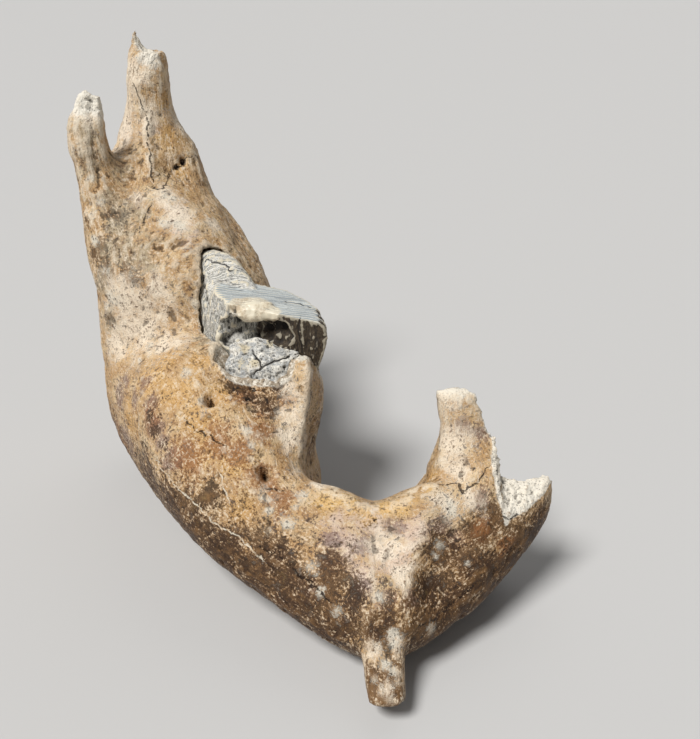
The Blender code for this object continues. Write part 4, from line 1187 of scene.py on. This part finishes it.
def molarFinish():
    m = molarLook
    f = Finish("mammothMolar")
    place = f.place()
    blotch = f.noise(place, m["blotch"], 4, 0.6)
    speckle = f.noise(place, m["speckle"], 3, 0.7)
    grit = f.noise(place, m["grit"], 2, 0.6)
    # fine lines that run across the worn face, and upright ones on the sides
    long, thin = m["lineSize"]
    across = f.add("CombineXYZ", {}, {"X": f.field("plates") * (1 / long),
                                      "Y": f.field("run") * (1 / thin)})
    lines = f.noise(across, 1, 3, 0.6)
    top = f.field("top")
    thick, tall = m["uprightSize"]
    drawn = f.stretch(f.bend(place, 9, 3), (1 / thick, 1 / thick, 1 / tall))
    upright = f.noise(drawn, 1, 3, 0.65)
    swept = f.noise(f.stretch(f.bend(across, 0.8, 1.5), (1, 0.45, 1)), 1, 4, 0.7)
    upright = upright + (swept - upright) * top
    fine = (speckle - 0.5) * 1.2 + (grit - 0.5) * 0.8
    wear, front, lobe = f.field("wear"), f.field("front"), f.field("lobe")

    # painted light: the places that face up are a little whiter
    side = f.mix(f.step(upright + fine * 0.25 + top * 0.03, *m["whiteIn"]), m["grey"], m["white"])
    side = f.mix(f.step(upright + fine * 0.2, *m["sootIn"]) * 0.9, side, m["sootAndShade"])
    brown = f.mix(f.step(upright + fine * 0.3, *m["tanIn"]), m["brown"], m["tan"])
    brown = f.mix(f.step(upright + fine * 0.2, *m["brownSootIn"]) * 0.8, brown, m["sootAndShade"])
    colour = f.mix(f.step(front + (blotch - 0.5) * 0.9, *m["frontIn"]), side, brown)
    worn = f.mix(f.step(lines + fine * 0.12, *m["paleIn"]), m["slate"], m["pale"])
    worn = f.mix(f.step(lines + fine * 0.1, *m["lineSootIn"]) * 0.7, worn, m["sootAndShade"])
    colour = f.mix(wear, colour, worn)

    dent, hollow = f.field("dent"), f.field("hollow")
    rim = f.step(0 - dent * 1.2 + fine * 0.12, *m["rimIn"])
    colour = f.mix(rim * (1 - front * 0.5) * 0.85, colour, m["ivory"])
    polished = f.step(lobe + (blotch - 0.5) * 0.5, *m["lobeIn"])
    glazed = f.mix(f.step(blotch + fine * 0.4, *m["amberIn"]) * 0.6, m["ivory"], m["amber"])
    colour = f.mix(polished * 0.9, colour, glazed)
    colour = f.mix(f.step(fine, *m["grainIn"]) * (1 - polished) * 0.4, colour, m["sootAndShade"])
    # painted shade: darker in the molar's dents and hollows
    paintedHollowShade = f.step(dent * 1.4 + hollow * 0.14 + fine * 0.3, *m["paintedHollowShadeIn"])
    colour = f.mix(paintedHollowShade * 0.85, colour, m["sootAndShade"])
    dark = f.line("darkLine", "darkNear", m["crackWidth"])
    colour = f.mix(dark * 0.85, colour, m["sootAndShade"])
    rough = 0.62 - polished * 0.28 - wear * 0.14 + paintedHollowShade * 0.2
    height = ((lines - 0.5) * wear * 0.9 + (upright - 0.5) * (1 - wear) * (1 - polished) * 1.2
              + fine * 0.25 * (1 - polished) - dark * 0.6)
    return f.close(colour, rough, height)


stumpLook = dict(
    chalk=tone(212, 207, 196), pale=tone(238, 233, 222), blue=tone(168, 168, 165),
    straw=tone(186, 166, 118), dust=tone(122, 112, 96), sootAndShade=tone(44, 40, 36),
    blotch=6, speckle=1.6, pore=1.9,
    chalkIn=(0.40, 0.60), paleIn=(0.50, 0.62), strawIn=(0.35, 1.05), paintedHollowShadeIn=(0.12, 0.75),
    poreIn=(0.12, 0.36), crackWidth=0.7,
)


def stumpFinish():
    m = stumpLook
    f = Finish("rootChalk")
    place = f.place()
    bent = f.bend(place, 8, 5)
    blotch = f.noise(bent, m["blotch"], 4, 0.65)
    speckle = f.noise(place, m["speckle"], 3, 0.7)
    fine = (speckle - 0.5) * 1.3
    pore = 1 - f.step(f.cells(bent, m["pore"]), *m["poreIn"])
    colour = f.mix(f.step(blotch + fine * 0.3, *m["chalkIn"]), m["blue"], m["chalk"])
    colour = f.mix(f.step(speckle + (blotch - 0.5) * 0.6, *m["paleIn"]) * 0.8, colour, m["pale"])
    straw = f.step(f.field("yellow") + (blotch - 0.5) * 2.6 + fine, *m["strawIn"])
    colour = f.mix(straw * 0.6, colour, m["straw"])
    dent, hollow = f.field("dent"), f.field("hollow")
    # painted shade: darker in the stump's dents and hollows
    paintedHollowShade = f.step(dent * 1.3 + hollow * 0.2 + fine * 0.4, *m["paintedHollowShadeIn"])
    colour = f.mix(paintedHollowShade * 0.85, colour, m["sootAndShade"])
    colour = f.mix(pore * 0.65, colour, m["dust"])
    dark = f.line("darkLine", "darkNear", m["crackWidth"])
    colour = f.mix(dark * 0.9, colour, m["sootAndShade"])
    height = fine * 0.5 + (blotch - 0.5) * 0.8 - pore * 0.7 - dark * 0.9
    return f.close(colour, 0.85 - blotch * 0.2, height)


def settle(item, node):
    # the piece is set on the ground and in the frame, and takes its node's place
    points = readPoints(item)
    points[:, 2] = np.maximum(points[:, 2], 0)
    writePoints(item, points - chinRest)
    item.data.polygons.foreach_set("use_smooth", np.ones(len(item.data.polygons), bool))
    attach(item, "root")
    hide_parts(node)
    print(node, len(item.data.polygons), "faces")


jawBone = makeBone()
weatherBone(jawBone)
jawBone.data.materials.append(boneFinish())
molar = makeMolar()
weatherMolar(molar)
molar.data.materials.append(molarFinish())
rootStump = makeStump()
weatherStump(rootStump)
rootStump.data.materials.append(stumpFinish())
settle(jawBone, "jaw_bone")
settle(molar, "molar")
settle(rootStump, "root_stump")


studio = dict(
    # half the floor's side in mm
    floor=60000, paper=(0.52, 0.51, 0.495, 1), paperRoughness=0.8,
    # name, the direction it shines from, its width in degrees, its strength
    lamps=[("softKey", (-0.50, -0.42, 1.0), 20, 3.65), ("softFill", (0.4, 0.9, 1.0), 50, 0.3)],
    sky=(0.95, 0.97, 1.0, 1), skyStrength=0.20,
    # the camera's place, how far it looks down and to the right in degrees, its lens
    view=(-41.5, -397.3, 428.0), pitch=27.0, yaw=3.0, lens=38.97, sensor=36, sees=(0.01, 50),
)


def makeFloor():
    half = studio["floor"]
    floor = putMesh("floor", [(-half, -half, 0), (half, -half, 0), (half, half, 0),
                              (-half, half, 0)], [[0, 1, 2, 3]])
    paper = bpy.data.materials.new("palePaper")
    paper.use_nodes = True
    shader = paper.node_tree.nodes["Principled BSDF"]
    shader.inputs["Base Color"].default_value = studio["paper"]
    shader.inputs["Roughness"].default_value = studio["paperRoughness"]
    floor.data.materials.append(paper)


def makeLamp(name, fromWhere, wide, strength):
    # a far lamp whose beams come from that direction, its shadows softened by its width
    data = bpy.data.lights.new(name, "SUN")
    data.angle = math.radians(wide)
    data.energy = strength
    x, y, z = fromWhere
    lamp = putObject(name, data)
    lamp.rotation_euler = (math.atan2(math.hypot(x, y), z), 0, math.atan2(y, x) + math.pi / 2)


def makeSky():
    world = bpy.data.worlds.new("studio")
    world.use_nodes = True
    background = world.node_tree.nodes["Background"]
    background.inputs["Color"].default_value = studio["sky"]
    background.inputs["Strength"].default_value = studio["skyStrength"]
    bpy.context.scene.world = world
    bpy.context.scene.view_settings.view_transform = "Standard"


def makeCamera():
    data = bpy.data.cameras.new("camera")
    data.lens = studio["lens"]
    data.sensor_width = studio["sensor"]
    data.clip_start, data.clip_end = studio["sees"]
    camera = putObject("camera", data)
    camera.location = (np.array(studio["view"]) - chinRest) * mm
    camera.rotation_euler = (math.radians(90 - studio["pitch"]), 0, math.radians(-studio["yaw"]))
    bpy.context.scene.camera = camera


makeFloor()
for lamp in studio["lamps"]:
    makeLamp(*lamp)
makeSky()
makeCamera()
print("stage made")
